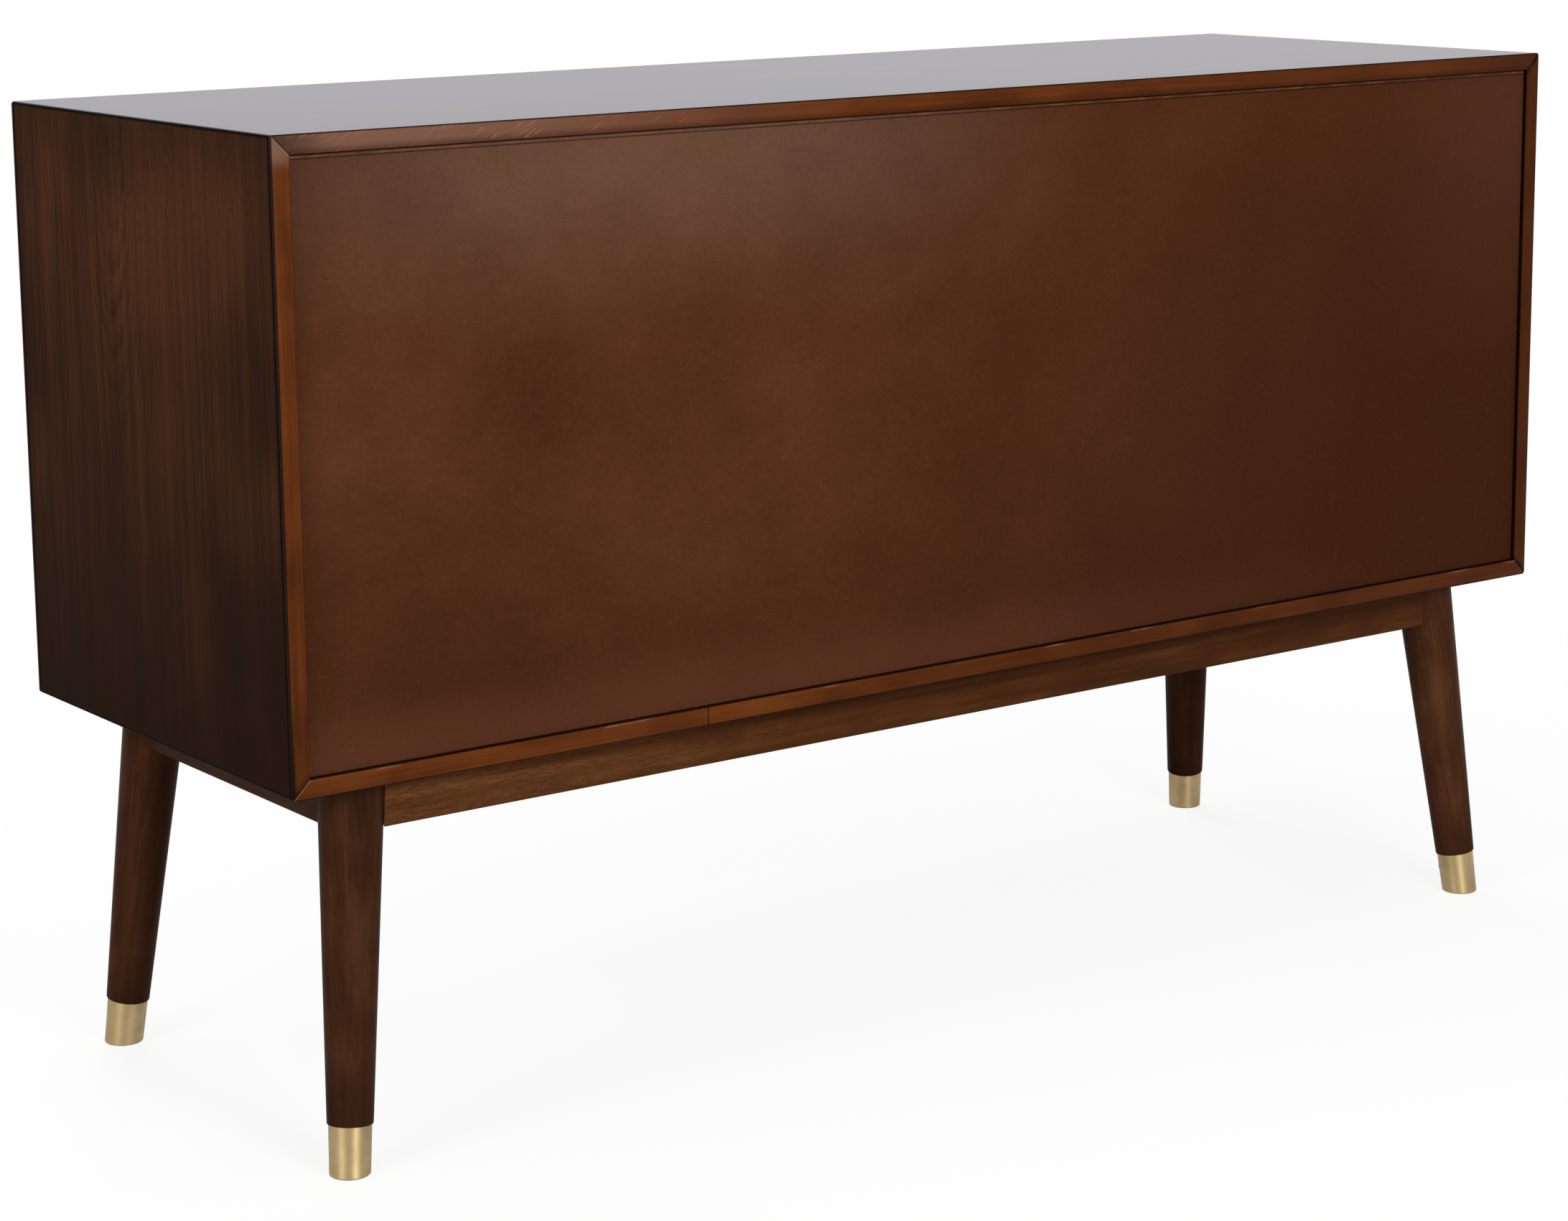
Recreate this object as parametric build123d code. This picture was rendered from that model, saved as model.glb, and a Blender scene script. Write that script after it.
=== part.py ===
# Sideboard with a mitred veneered case, two cupboards, three drawers and a splayed base.
# Millimetres. +Z is up, the front faces -Y, and left is -X as seen from the front.
# Pieces are laid out about the middle of the case, then shifted so that the origin is
# on the floor at the middle of the whole box, knobs included.
import os
from math import sqrt

from build123d import *

# Case
overall_width = 1320.0
case_depth = 440.0
case_height = 492.0
panel_thickness = 15.0
corner_radius = 2.5
lipping_thickness = 2.0
lipping_ease = 0.8
drawer_bay_width = 418.0
divider_housing = 5.0

# Back panel, held in a groove all round
back_thickness = 5.0
back_recess = 4.0
back_groove_depth = 7.0
back_groove_slack = 0.5

# Splayed legs, measured on the leg's centre line
leg_height = 308.0
leg_top_from_end = 80.0
leg_top_from_back = 56.0
foot_from_end = 51.0
foot_from_back = 25.0
leg_top_diameter = 52.4
leg_floor_diameter = 33.8
shoulder_radius = 1.1

# Ferrules
ferrule_height = 39.0
ferrule_top_diameter = 33.8
ferrule_floor_diameter = 32.1
ferrule_wall = 1.0
ferrule_floor = 1.5
ferrule_rim_radius = 1.4
ferrule_fit = 0.1
ferrule_pin_height = 25.0
ferrule_pin_diameter = 1.6
ferrule_pin_head_diameter = 3.0
ferrule_pin_head = 0.6
ferrule_pin_sink = 0.3
ferrule_pin_length = 8.0

# Base frame
apron_height = 44.0
apron_thickness = 20.0
end_apron_from_end = 62.0
long_apron_from_back = 37.0
apron_edge_radius = 2.0
end_apron_corner_radius = 6.0
cope_fit = 0.6
corner_block_height = 30.0
corner_block_width = 40.0
centre_rail_width = 60.0
centre_rail_height = 30.0

# Bolts and screws of the base
leg_bolt_diameter = 6.0
leg_bolt_bite = 22.0
leg_bolt_tail = 9.0
leg_nut_width = 10.0
leg_nut_height = 5.0
base_screw_diameter = 4.0
base_screw_head_diameter = 8.0
base_screw_bite = 10.0
fastener_fit = 0.1

# Fronts
front_thickness = 18.0
front_gap = 2.0
front_edge_radius = 1.0

# Knobs
knob_diameter = 24.0
knob_projection = 24.0
knob_base_diameter = 15.0
knob_base_height = 2.0
knob_neck_diameter = 9.0
knob_neck_height = 9.0
knob_rim_height = 3.0
knob_dome_height = 5.0
knob_stud_diameter = 6.0
knob_stud_length = 12.0
knob_from_door_edge = 42.0

# Butt hinges
hinge_height = 50.0
hinge_from_door_end = 55.0
hinge_leaf_width = 14.0
hinge_leaf_thickness = 0.9
hinge_knuckle_diameter = 6.0
hinge_knuckle_count = 5
hinge_knuckle_gap = 0.3
hinge_pin_diameter = 2.4
hinge_pin_fit = 0.05
hinge_pin_head = 1.2
hinge_stand_off = 0.2
hinge_swing_gap = 0.3

# Magnetic catches
catch_width = 44.0
catch_depth = 15.0
catch_height = 13.0
catch_corner_radius = 3.0
catch_gap = 0.3
catch_from_divider = 60.0
strike_width = 32.0
strike_height = 9.0
strike_thickness = 1.0
strike_corner_radius = 2.0
strike_from_door_top = 1.0

# Shelves
shelf_thickness = 15.0
shelf_side_gap = 1.0
shelf_front_set_back = 14.0
shelf_back_gap = 2.0
shelf_height = 215.0
shelf_edge_radius = 1.0
shelf_pin_diameter = 5.0
shelf_pin_hole_depth = 9.0
shelf_pin_reach = 8.0
shelf_pin_collar_diameter = 8.0
shelf_pin_collar_length = 1.5
shelf_pin_flat = 0.5
shelf_pin_inset = 50.0
shelf_pin_spacing = 32.0
shelf_pin_rows = 3

# Drawers
drawer_names = ["lower", "middle", "upper"]
drawer_side_thickness = 13.0
drawer_back_thickness = 12.0
drawer_bottom_thickness = 5.0
drawer_bottom_groove = 5.0
drawer_bottom_rise = 8.0
drawer_bottom_slack = 0.3
drawer_box_height = 112.0
drawer_box_rise = 18.0
drawer_back_gap = 33.0
drawer_side_gap = 1.5
drawer_top_ease = 2.0
dovetail_count = 3
dovetail_length = 11.0
dovetail_root = 16.0
dovetail_tip = 21.0

# Drawer runners, let into a groove in each drawer side
runner_height = 9.4
runner_groove_depth = 7.0
runner_end_gap = 0.3
runner_running_gap = 0.3
runner_start = 10.0
runner_rise = 60.0

# Planes and lengths that pieces share
half_width = overall_width / 2
inner_half = half_width - panel_thickness
front_y = -case_depth / 2
back_y = case_depth / 2
case_bottom = leg_height
case_top = leg_height + case_height
case_middle = leg_height + case_height / 2
inside_bottom = case_bottom + panel_thickness
inside_top = case_top - panel_thickness
inside_width = 2 * inner_half
inside_height = inside_top - inside_bottom
panel_span = (front_y + lipping_thickness, back_y - lipping_thickness)
back_panel_span = (back_y - back_recess - back_thickness, back_y - back_recess)
front_span = (front_y, front_y + front_thickness)
divider_inner = drawer_bay_width / 2
divider_outer = divider_inner + panel_thickness
door_span = (divider_outer + front_gap, inner_half - front_gap)
front_heights = (inside_bottom + front_gap, inside_top - front_gap)
case_shift = knob_projection / 2


def block(x_span, y_span, z_span):
    """A box between two planes along each axis."""
    spans = (x_span, y_span, z_span)
    centre = [(low + high) / 2 for low, high in spans]
    return Pos(*centre) * Box(*[high - low for low, high in spans])


def prism_y(corners, y_span):
    """Corners in X and Z, extruded between two planes along Y."""
    outline = Polyline([(x, y_span[0], z) for x, z in corners], close=True)
    return extrude(make_face(outline), amount=y_span[1] - y_span[0], dir=(0, 1, 0))


def prism_z(corners, z_span):
    """Corners in X and Y, extruded between two heights."""
    outline = Polyline([(x, y, z_span[0]) for x, y in corners], close=True)
    return extrude(make_face(outline), amount=z_span[1] - z_span[0], dir=(0, 0, 1))


def rod_x(radius, x_span, y, z):
    """A round rod along X."""
    length = x_span[1] - x_span[0]
    return Pos((x_span[0] + x_span[1]) / 2, y, z) * Rot(0, 90, 0) * Cylinder(radius, length)


def rod_z(radius, x, y, z_span):
    """A round rod along Z."""
    return Pos(x, y, (z_span[0] + z_span[1]) / 2) * Cylinder(radius, z_span[1] - z_span[0])


def to_left(shape):
    return mirror(shape, about=Plane.YZ)


def to_front(shape):
    return mirror(shape, about=Plane.XZ)


def four_corners(shape):
    """Copies of a back right piece at every corner, in the order of corner_names."""
    back_left = to_left(shape)
    return [to_front(back_left), to_front(shape), back_left, shape]


corner_names = ["front_left", "front_right", "back_left", "back_right"]
pieces = {}

# Case: a ring of four panels, cut at the corners on the mitre
top_left = (-half_width, case_top)
top_right = (half_width, case_top)
bottom_left = (-half_width, case_bottom)
bottom_right = (half_width, case_bottom)
inside_top_left = (-inner_half, inside_top)
inside_top_right = (inner_half, inside_top)
inside_bottom_left = (-inner_half, inside_bottom)
inside_bottom_right = (inner_half, inside_bottom)
mitres = {
    "top": [top_left, top_right, inside_top_right, inside_top_left],
    "bottom": [bottom_left, bottom_right, inside_bottom_right, inside_bottom_left],
    "left": [bottom_left, top_left, inside_top_left, inside_bottom_left],
    "right": [bottom_right, top_right, inside_top_right, inside_bottom_right],
}


def case_ring(y_span):
    """The four case walls as one rounded frame, seen from the front."""
    section = Plane((0, y_span[0], case_middle), x_dir=(1, 0, 0), z_dir=(0, 1, 0))
    outside = RectangleRounded(overall_width, case_height, corner_radius)
    walls = outside - Rectangle(inside_width, inside_height)
    return extrude(section * walls, amount=y_span[1] - y_span[0])


def eased_lipping(y_span, show_last):
    """The ring of edge strips, with the outer edge of its visible face eased."""
    ring = case_ring(y_span)
    visible_face = ring.faces().sort_by(Axis.Y)[-1 if show_last else 0]
    return fillet(visible_face.outer_wire().edges(), lipping_ease)


panel_ring = case_ring(panel_span)
back_groove = block(
    (-inner_half - back_groove_depth, inner_half + back_groove_depth),
    back_panel_span,
    (inside_bottom - back_groove_depth, inside_top + back_groove_depth),
)
panel_ring = panel_ring - back_groove

right_divider = block(
    (divider_inner, divider_outer),
    (panel_span[0], back_panel_span[0]),
    (inside_bottom - divider_housing, inside_top + divider_housing),
)
dividers = {"left": to_left(right_divider), "right": right_divider}

panels = {}
for side, corners in mitres.items():
    panels[side] = panel_ring & prism_y(corners, panel_span)
for side in ("top", "bottom"):
    panels[side] = panels[side] - dividers["left"] - dividers["right"]

back_reach = back_groove_depth - back_groove_slack
pieces["back_panel"] = block(
    (-inner_half - back_reach, inner_half + back_reach),
    back_panel_span,
    (inside_bottom - back_reach, inside_top + back_reach),
)

back_strips = (back_y - lipping_thickness, back_y)
front_strips = (front_y, front_y + lipping_thickness)
back_ring = eased_lipping(back_strips, True)
front_ring = eased_lipping(front_strips, False)
divider_strip = block((divider_inner, divider_outer), front_strips, (inside_bottom, inside_top))
pieces["back_edge_lipping"] = [back_ring & prism_y(corners, back_strips) for corners in mitres.values()]
pieces["front_edge_lipping"] = [front_ring & prism_y(corners, front_strips) for corners in mitres.values()]
pieces["front_edge_lipping"] += [divider_strip, to_left(divider_strip)]

# Legs: a turned taper on a splayed centre line, with a tenon for the ferrule
foot = Vector(half_width - foot_from_end, back_y - foot_from_back, 0)
leg_top = Vector(half_width - leg_top_from_end, back_y - leg_top_from_back, leg_height)
leg_length = (leg_top - foot).length
leg_line = Plane(origin=foot, z_dir=leg_top - foot)
leg_slope = (leg_top_diameter - leg_floor_diameter) / 2 / leg_length
ferrule_slope = (ferrule_top_diameter - ferrule_floor_diameter) / 2 / ferrule_height
tilt_reach = leg_top_diameter


def leg_radius(along):
    return leg_floor_diameter / 2 + leg_slope * along


def ferrule_radius(along):
    return ferrule_floor_diameter / 2 + ferrule_slope * along


def leg_centre(height):
    """Where the leg's centre line passes a height above the floor."""
    return foot + (leg_top - foot) * (height / leg_height)


def on_leg(profile):
    """A profile of radius and distance along the leg, turned about the leg's centre line."""
    face = make_face(Polyline([(radius, 0, along) for radius, along in profile], close=True))
    return leg_line.location * revolve(face, Axis.Z)


def cone_on_leg(radius_at, along_span, spare=0.0):
    low, high = along_span
    return on_leg([(0, low), (radius_at(low) + spare, low), (radius_at(high) + spare, high), (0, high)])


def heights(z_span):
    """A slab across the whole object between two heights."""
    return block((-overall_width, overall_width), (-case_depth, case_depth), z_span)


leg_taper = cone_on_leg(leg_radius, (ferrule_height, leg_length + tilt_reach))
shoulder_edge = leg_taper.edges().filter_by(GeomType.CIRCLE).sort_by(Axis.Z)[0]
leg_taper = fillet(shoulder_edge, shoulder_radius)
ferrule_hollow = cone_on_leg(ferrule_radius, (-tilt_reach, ferrule_height), -ferrule_wall)
ferrule_hollow = ferrule_hollow & heights((ferrule_floor, case_bottom))
leg_tenon = cone_on_leg(ferrule_radius, (-tilt_reach, ferrule_height), -ferrule_wall - ferrule_fit)
leg = (leg_taper + leg_tenon) & heights((ferrule_floor + ferrule_fit, leg_height))

ferrule = cone_on_leg(ferrule_radius, (-tilt_reach, ferrule_height)) & heights((0, case_bottom))
ferrule_rim = ferrule.faces().sort_by(Axis.Z)[0].outer_wire().edges()
ferrule = fillet(ferrule_rim, ferrule_rim_radius) - ferrule_hollow

# The ferrule's pin enters from the side that faces the middle of the object
inward = Vector(-1, -1, 0).normalized()
pin_inward = (inward - leg_line.z_dir * inward.dot(leg_line.z_dir)).normalized()
pin_seat = ferrule_radius(ferrule_pin_height) - ferrule_pin_sink
pin_line = Plane(origin=foot + leg_line.z_dir * ferrule_pin_height + pin_inward * pin_seat, z_dir=pin_inward)
upwards = (Align.CENTER, Align.CENTER, Align.MIN)
downwards = (Align.CENTER, Align.CENTER, Align.MAX)
pin_shank = Cylinder(ferrule_pin_diameter / 2, ferrule_pin_length, align=downwards)
pin_head = Cylinder(ferrule_pin_head_diameter / 2, ferrule_pin_head, align=upwards)
pin_bore_depth = ferrule_pin_length + fastener_fit
pin_bore = Cylinder(ferrule_pin_diameter / 2 + fastener_fit, pin_bore_depth, align=downwards)
pin_head_seat = Cylinder(ferrule_pin_head_diameter / 2 + fastener_fit, ferrule_pin_head, align=upwards)
ferrule_pin = pin_line.location * (pin_shank + pin_head)
leg = leg - pin_line.location * pin_bore
ferrule = ferrule - pin_line.location * (pin_bore + pin_head_seat)

# Aprons: each end is coped to the round leg at the outer face
apron_span = (case_bottom - apron_height, case_bottom)
apron_bottom_centre = leg_centre(apron_span[0])
apron_bottom_radius = leg_radius(leg_length * apron_span[0] / leg_height)
end_apron_x = half_width - end_apron_from_end
long_apron_y = back_y - long_apron_from_back


def apron_reach(centre_along, offset):
    """Where the outer face of an apron meets the leg at the apron's lower edge."""
    return centre_along - sqrt(apron_bottom_radius**2 - offset**2)


long_apron_half = apron_reach(apron_bottom_centre.X, long_apron_y - apron_bottom_centre.Y)
end_apron_half = apron_reach(apron_bottom_centre.Y, end_apron_x - apron_bottom_centre.X)
cope_legs = four_corners(cone_on_leg(leg_radius, (0, leg_length + tilt_reach), cope_fit))


def apron(half_length):
    """An apron along X, outer face on Y = 0."""
    return block((-half_length, half_length), (-apron_thickness, 0), apron_span)


def eased(rail):
    """Rounds an apron's two lower edges."""
    lower_edges = rail.faces().sort_by(Axis.Z)[0].edges().filter_by(Axis.X)
    return fillet(lower_edges, apron_edge_radius)


def coped(rail):
    for cope_leg in cope_legs:
        rail = rail - cope_leg
    return rail


back_apron = coped(Pos(0, long_apron_y, 0) * eased(apron(long_apron_half)))
end_apron = apron(end_apron_half)
end_apron = fillet(end_apron.edges().filter_by(Axis.Y).group_by(Axis.Z)[0], end_apron_corner_radius)
right_apron = coped(Pos(end_apron_x, 0, 0) * Rot(0, 0, -90) * eased(end_apron))
pieces["back_apron"] = back_apron
pieces["front_apron"] = to_front(back_apron)
pieces["right_apron"] = right_apron
pieces["left_apron"] = to_left(right_apron)

# Corner blocks: they brace the aprons and clamp the leg with a bolt
long_apron_inner = long_apron_y - apron_thickness
end_apron_inner = end_apron_x - apron_thickness
diagonal = (leg_top.X + leg_top.Y) - sqrt(2) * (leg_top_diameter / 2 + cope_fit)
inner_diagonal = diagonal - sqrt(2) * corner_block_width
corner_block_span = (case_bottom - corner_block_height, case_bottom)
corner_block = prism_z(
    [
        (diagonal - long_apron_inner, long_apron_inner),
        (inner_diagonal - long_apron_inner, long_apron_inner),
        (end_apron_inner, inner_diagonal - end_apron_inner),
        (end_apron_inner, diagonal - end_apron_inner),
    ],
    corner_block_span,
)
corner_block = corner_block - cope_legs[-1]

bolt_height = case_bottom - corner_block_height / 2
bolt_leg_centre = leg_centre(bolt_height)
block_back = ((bolt_leg_centre.X + bolt_leg_centre.Y) - inner_diagonal) / sqrt(2)
bolt_line = Plane(origin=bolt_leg_centre + inward * block_back, z_dir=inward)
bolt_inside = block_back - leg_radius(leg_length * bolt_height / leg_height) + leg_bolt_bite
bolt_length = bolt_inside + leg_bolt_tail
bolt_rod = Pos(0, 0, leg_bolt_tail) * Cylinder(leg_bolt_diameter / 2, bolt_length, align=downwards)
bolt_nut = extrude(RegularPolygon(leg_nut_width / 2, 6, major_radius=False), amount=leg_nut_height)
bolt_bore = Cylinder(leg_bolt_diameter / 2 + fastener_fit, bolt_inside + fastener_fit, align=downwards)
leg_bolt = bolt_line.location * (bolt_rod + bolt_nut)
leg = leg - bolt_line.location * bolt_bore
corner_block = corner_block - bolt_line.location * bolt_bore

pieces["centre_rail"] = block(
    (-centre_rail_width / 2, centre_rail_width / 2),
    (-long_apron_inner, long_apron_inner),
    (case_bottom - centre_rail_height, case_bottom),
)


def base_screw(x, y, low):
    """A countersunk wood screw from below, and the hole that it leaves."""
    shank_radius = base_screw_diameter / 2
    head_radius = base_screw_head_diameter / 2
    head_height = head_radius - shank_radius
    high = case_bottom + base_screw_bite
    head_place = Pos(x, y, low + head_height / 2)
    shank = rod_z(shank_radius, x, y, (low, high))
    head = head_place * Cone(head_radius, shank_radius, head_height)
    bore = rod_z(shank_radius + fastener_fit, x, y, (low, high + fastener_fit))
    sink = head_place * Cone(head_radius + fastener_fit, shank_radius + fastener_fit, head_height)
    return shank + head, bore + sink


screw_set = (diagonal + inner_diagonal) / 4
screw_offset = (end_apron_inner - long_apron_inner) / 2
screw_side = corner_block_width / 2
block_screws = []
for along in (-screw_side, screw_side):
    x = screw_set + screw_offset + along
    y = screw_set - screw_offset - along
    screw, bore = base_screw(x, y, corner_block_span[0])
    block_screws.append(screw)
    corner_block = corner_block - bore
    for bore_copy in four_corners(bore):
        panels["bottom"] = panels["bottom"] - bore_copy

pieces["base_screws"] = [copy for screw in block_screws for copy in four_corners(screw)]
for y in (-long_apron_inner / 2, long_apron_inner / 2):
    screw, bore = base_screw(0, y, case_bottom - centre_rail_height)
    pieces["base_screws"].append(screw)
    pieces["centre_rail"] = pieces["centre_rail"] - bore
    panels["bottom"] = panels["bottom"] - bore

pieces["corner_blocks"] = four_corners(corner_block)
pieces["leg_bolts"] = four_corners(leg_bolt)
pieces["ferrule_pins"] = four_corners(ferrule_pin)
for name, one_leg, one_ferrule in zip(corner_names, four_corners(leg), four_corners(ferrule)):
    pieces[name + "_leg"] = one_leg
    pieces[name + "_ferrule"] = one_ferrule


# Knobs: turned, on a stud that goes into the front
def knob(x, z):
    face_y = front_y
    base_y = face_y - knob_base_height
    neck_y = base_y - knob_neck_height
    rim_y = face_y - knob_projection + knob_dome_height
    flare_y = rim_y + knob_rim_height
    end_y = face_y - knob_projection
    stud_y = face_y + knob_stud_length
    stud = knob_stud_diameter / 2
    rim = knob_diameter / 2
    neck = knob_neck_diameter / 2
    outline = [
        Line((0, stud_y), (stud, stud_y)),
        Line((stud, stud_y), (stud, face_y)),
        Line((stud, face_y), (knob_base_diameter / 2, face_y)),
        Line((knob_base_diameter / 2, face_y), (knob_base_diameter / 2, base_y)),
        Line((knob_base_diameter / 2, base_y), (neck, base_y)),
        Line((neck, base_y), (neck, neck_y)),
        Line((neck, neck_y), (rim, flare_y)),
        Line((rim, flare_y), (rim, rim_y)),
        RadiusArc((rim, rim_y), (0, end_y), (rim**2 + knob_dome_height**2) / (2 * knob_dome_height)),
        Line((0, end_y), (0, stud_y)),
    ]
    return Pos(x, 0, z) * revolve(make_face(outline), Axis.Y)


def knob_bore(x, z):
    depth = knob_stud_length + fastener_fit
    bore = Rot(90, 0, 0) * Cylinder(knob_stud_diameter / 2 + fastener_fit, 2 * depth)
    return Pos(x, front_y, z) * bore


def front_board(x_span, z_span):
    """A door or drawer front with its visible edges eased."""
    board = block(x_span, front_span, z_span)
    return fillet(board.faces().sort_by(Axis.Y)[0].edges(), front_edge_radius)


# Right door with its hinges, knob and strike; the left one is its mirror image
door_knob_x = door_span[0] + knob_from_door_edge
door = front_board(door_span, front_heights) - knob_bore(door_knob_x, case_middle)
door_knob = knob(door_knob_x, case_middle)

hinge_x = inner_half - front_gap / 2
hinge_y = front_y - hinge_knuckle_diameter / 2 - hinge_stand_off
hinge_starts = (
    front_heights[0] + hinge_from_door_end,
    front_heights[1] - hinge_from_door_end - hinge_height,
)
knuckle_pitch = hinge_height / hinge_knuckle_count
pin_radius = hinge_pin_diameter / 2


def knuckle_span(start, index):
    half_gap = hinge_knuckle_gap / 2
    return (start + index * knuckle_pitch + half_gap, start + (index + 1) * knuckle_pitch - half_gap)


def hinge_leaf(start, first_knuckle, plate_x):
    """One leaf: a plate on the wood, every second knuckle, and room for the other leaf's knuckles."""
    plate_y = (hinge_y, front_y + hinge_leaf_width)
    leaf = block(plate_x, plate_y, (start, start + hinge_height))
    for index in range(hinge_knuckle_count):
        low, high = knuckle_span(start, index)
        if index % 2 == first_knuckle:
            leaf = leaf + rod_z(hinge_knuckle_diameter / 2, hinge_x, hinge_y, (low, high))
        else:
            room = (low - hinge_knuckle_gap, high + hinge_knuckle_gap)
            leaf = leaf - rod_z(hinge_knuckle_diameter / 2 + hinge_swing_gap, hinge_x, hinge_y, room)
    bore = (start - hinge_knuckle_gap, start + hinge_height + hinge_knuckle_gap)
    return leaf - rod_z(pin_radius + hinge_pin_fit, hinge_x, hinge_y, bore)


def hinge_pin(start):
    """A pin with a low button head at each end of the knuckles."""
    span = (start - hinge_pin_head, start + hinge_height + hinge_pin_head)
    shank = rod_z(pin_radius, hinge_x, hinge_y, span)
    for head_low in (span[0], span[1] - hinge_pin_head):
        head = rod_z(hinge_knuckle_diameter / 2, hinge_x, hinge_y, (head_low, head_low + hinge_pin_head))
        shank = shank + head
    return shank


case_plate = (inner_half - hinge_leaf_thickness, inner_half)
door_plate = (door_span[1], door_span[1] + hinge_leaf_thickness)
case_leaves = [hinge_leaf(start, 0, case_plate) for start in hinge_starts]
door_leaves = [hinge_leaf(start, 1, door_plate) for start in hinge_starts]
hinge_pins = [hinge_pin(start) for start in hinge_starts]

catch_x = divider_outer + catch_from_divider
catch_y = front_span[1] + strike_thickness + catch_gap
catch = block(
    (catch_x - catch_width / 2, catch_x + catch_width / 2),
    (catch_y, catch_y + catch_depth),
    (inside_top - catch_height, inside_top),
)
catch = fillet(catch.edges().filter_by(Axis.Z).group_by(Axis.Y)[-1], catch_corner_radius)
strike_top = front_heights[1] - strike_from_door_top
strike = block(
    (catch_x - strike_width / 2, catch_x + strike_width / 2),
    (front_span[1], front_span[1] + strike_thickness),
    (strike_top - strike_height, strike_top),
)
strike = fillet(strike.edges().filter_by(Axis.Y), strike_corner_radius)

pieces["right_door"] = door
pieces["left_door"] = to_left(door)
pieces["right_door_knob"] = door_knob
pieces["left_door_knob"] = to_left(door_knob)
pieces["right_hinge_door_leaves"] = door_leaves
pieces["left_hinge_door_leaves"] = [to_left(leaf) for leaf in door_leaves]
pieces["hinge_case_leaves"] = case_leaves + [to_left(leaf) for leaf in case_leaves]
pieces["hinge_pins"] = hinge_pins + [to_left(pin) for pin in hinge_pins]
pieces["right_strike_plate"] = strike
pieces["left_strike_plate"] = to_left(strike)
pieces["magnetic_catches"] = [catch, to_left(catch)]

# Right shelf on four pegs, with spare holes above and below; the left one is its mirror image
shelf_bottom = inside_bottom + shelf_height
shelf_y = (front_span[1] + shelf_front_set_back, back_panel_span[0] - shelf_back_gap)
shelf = block(
    (divider_outer + shelf_side_gap, inner_half - shelf_side_gap),
    shelf_y,
    (shelf_bottom, shelf_bottom + shelf_thickness),
)
shelf = fillet(shelf.faces().sort_by(Axis.Y)[0].edges().filter_by(Axis.X), shelf_edge_radius)
pin_z = shelf_bottom - shelf_pin_diameter / 2 + shelf_pin_flat
pin_rows = [pin_z + shelf_pin_spacing * (row - (shelf_pin_rows - 1) / 2) for row in range(shelf_pin_rows)]
shelf_pin_ys = (shelf_y[0] + shelf_pin_inset, shelf_y[1] - shelf_pin_inset)
shelf_pins = []
for wall_x, into_wall in ((divider_outer, -1), (inner_half, 1)):
    for y in shelf_pin_ys:
        peg_tail = wall_x + into_wall * (shelf_pin_hole_depth - fastener_fit)
        peg_tip = wall_x - into_wall * shelf_pin_reach
        collar_end = wall_x - into_wall * shelf_pin_collar_length
        peg = rod_x(shelf_pin_diameter / 2 - fastener_fit / 2, sorted((peg_tail, peg_tip)), y, pin_z)
        peg = peg + rod_x(shelf_pin_collar_diameter / 2, sorted((wall_x, collar_end)), y, pin_z)
        above_shelf = block(sorted((wall_x, peg_tip)), shelf_y, (shelf_bottom, inside_top))
        shelf_pins.append(peg - above_shelf)
        hole_ends = sorted((wall_x + into_wall * shelf_pin_hole_depth, wall_x))
        for z in pin_rows:
            hole = rod_x(shelf_pin_diameter / 2, hole_ends, y, z)
            if into_wall > 0:
                panels["right"] = panels["right"] - hole
            else:
                dividers["right"] = dividers["right"] - hole
panels["left"] = to_left(panels["right"])
dividers["left"] = to_left(dividers["right"])
pieces["right_shelf"] = shelf
pieces["left_shelf"] = to_left(shelf)
pieces["shelf_pins"] = shelf_pins + [to_left(peg) for peg in shelf_pins]

# Drawers: dovetailed boxes that hang on runners
drawer_count = len(drawer_names)
drawer_front_height = (inside_height - (drawer_count + 1) * front_gap) / drawer_count
drawer_half = divider_inner - drawer_side_gap
side_x = (drawer_half - drawer_side_thickness, drawer_half)
box_y = (front_span[1], back_panel_span[0] - drawer_back_gap)
back_board_y = (box_y[1] - drawer_back_thickness, box_y[1])
runner_x = (drawer_half - runner_groove_depth + runner_running_gap, divider_inner)
runner_y = (box_y[0] + runner_start + runner_end_gap, back_panel_span[0])
groove_height = runner_height + 2 * runner_running_gap


def dovetails(x_span, low):
    """Tails of a right drawer side, which flare towards the front."""
    tails = []
    pitch = drawer_box_height / dovetail_count
    tip_y = box_y[0] - dovetail_length
    for index in range(dovetail_count):
        z = low + (index + 0.5) * pitch
        corners = [
            (x_span[0], box_y[0], z - dovetail_root / 2),
            (x_span[0], box_y[0], z + dovetail_root / 2),
            (x_span[0], tip_y, z + dovetail_tip / 2),
            (x_span[0], tip_y, z - dovetail_tip / 2),
        ]
        face = make_face(Polyline(corners, close=True))
        tails.append(extrude(face, amount=x_span[1] - x_span[0], dir=(1, 0, 0)))
    return tails


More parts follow.
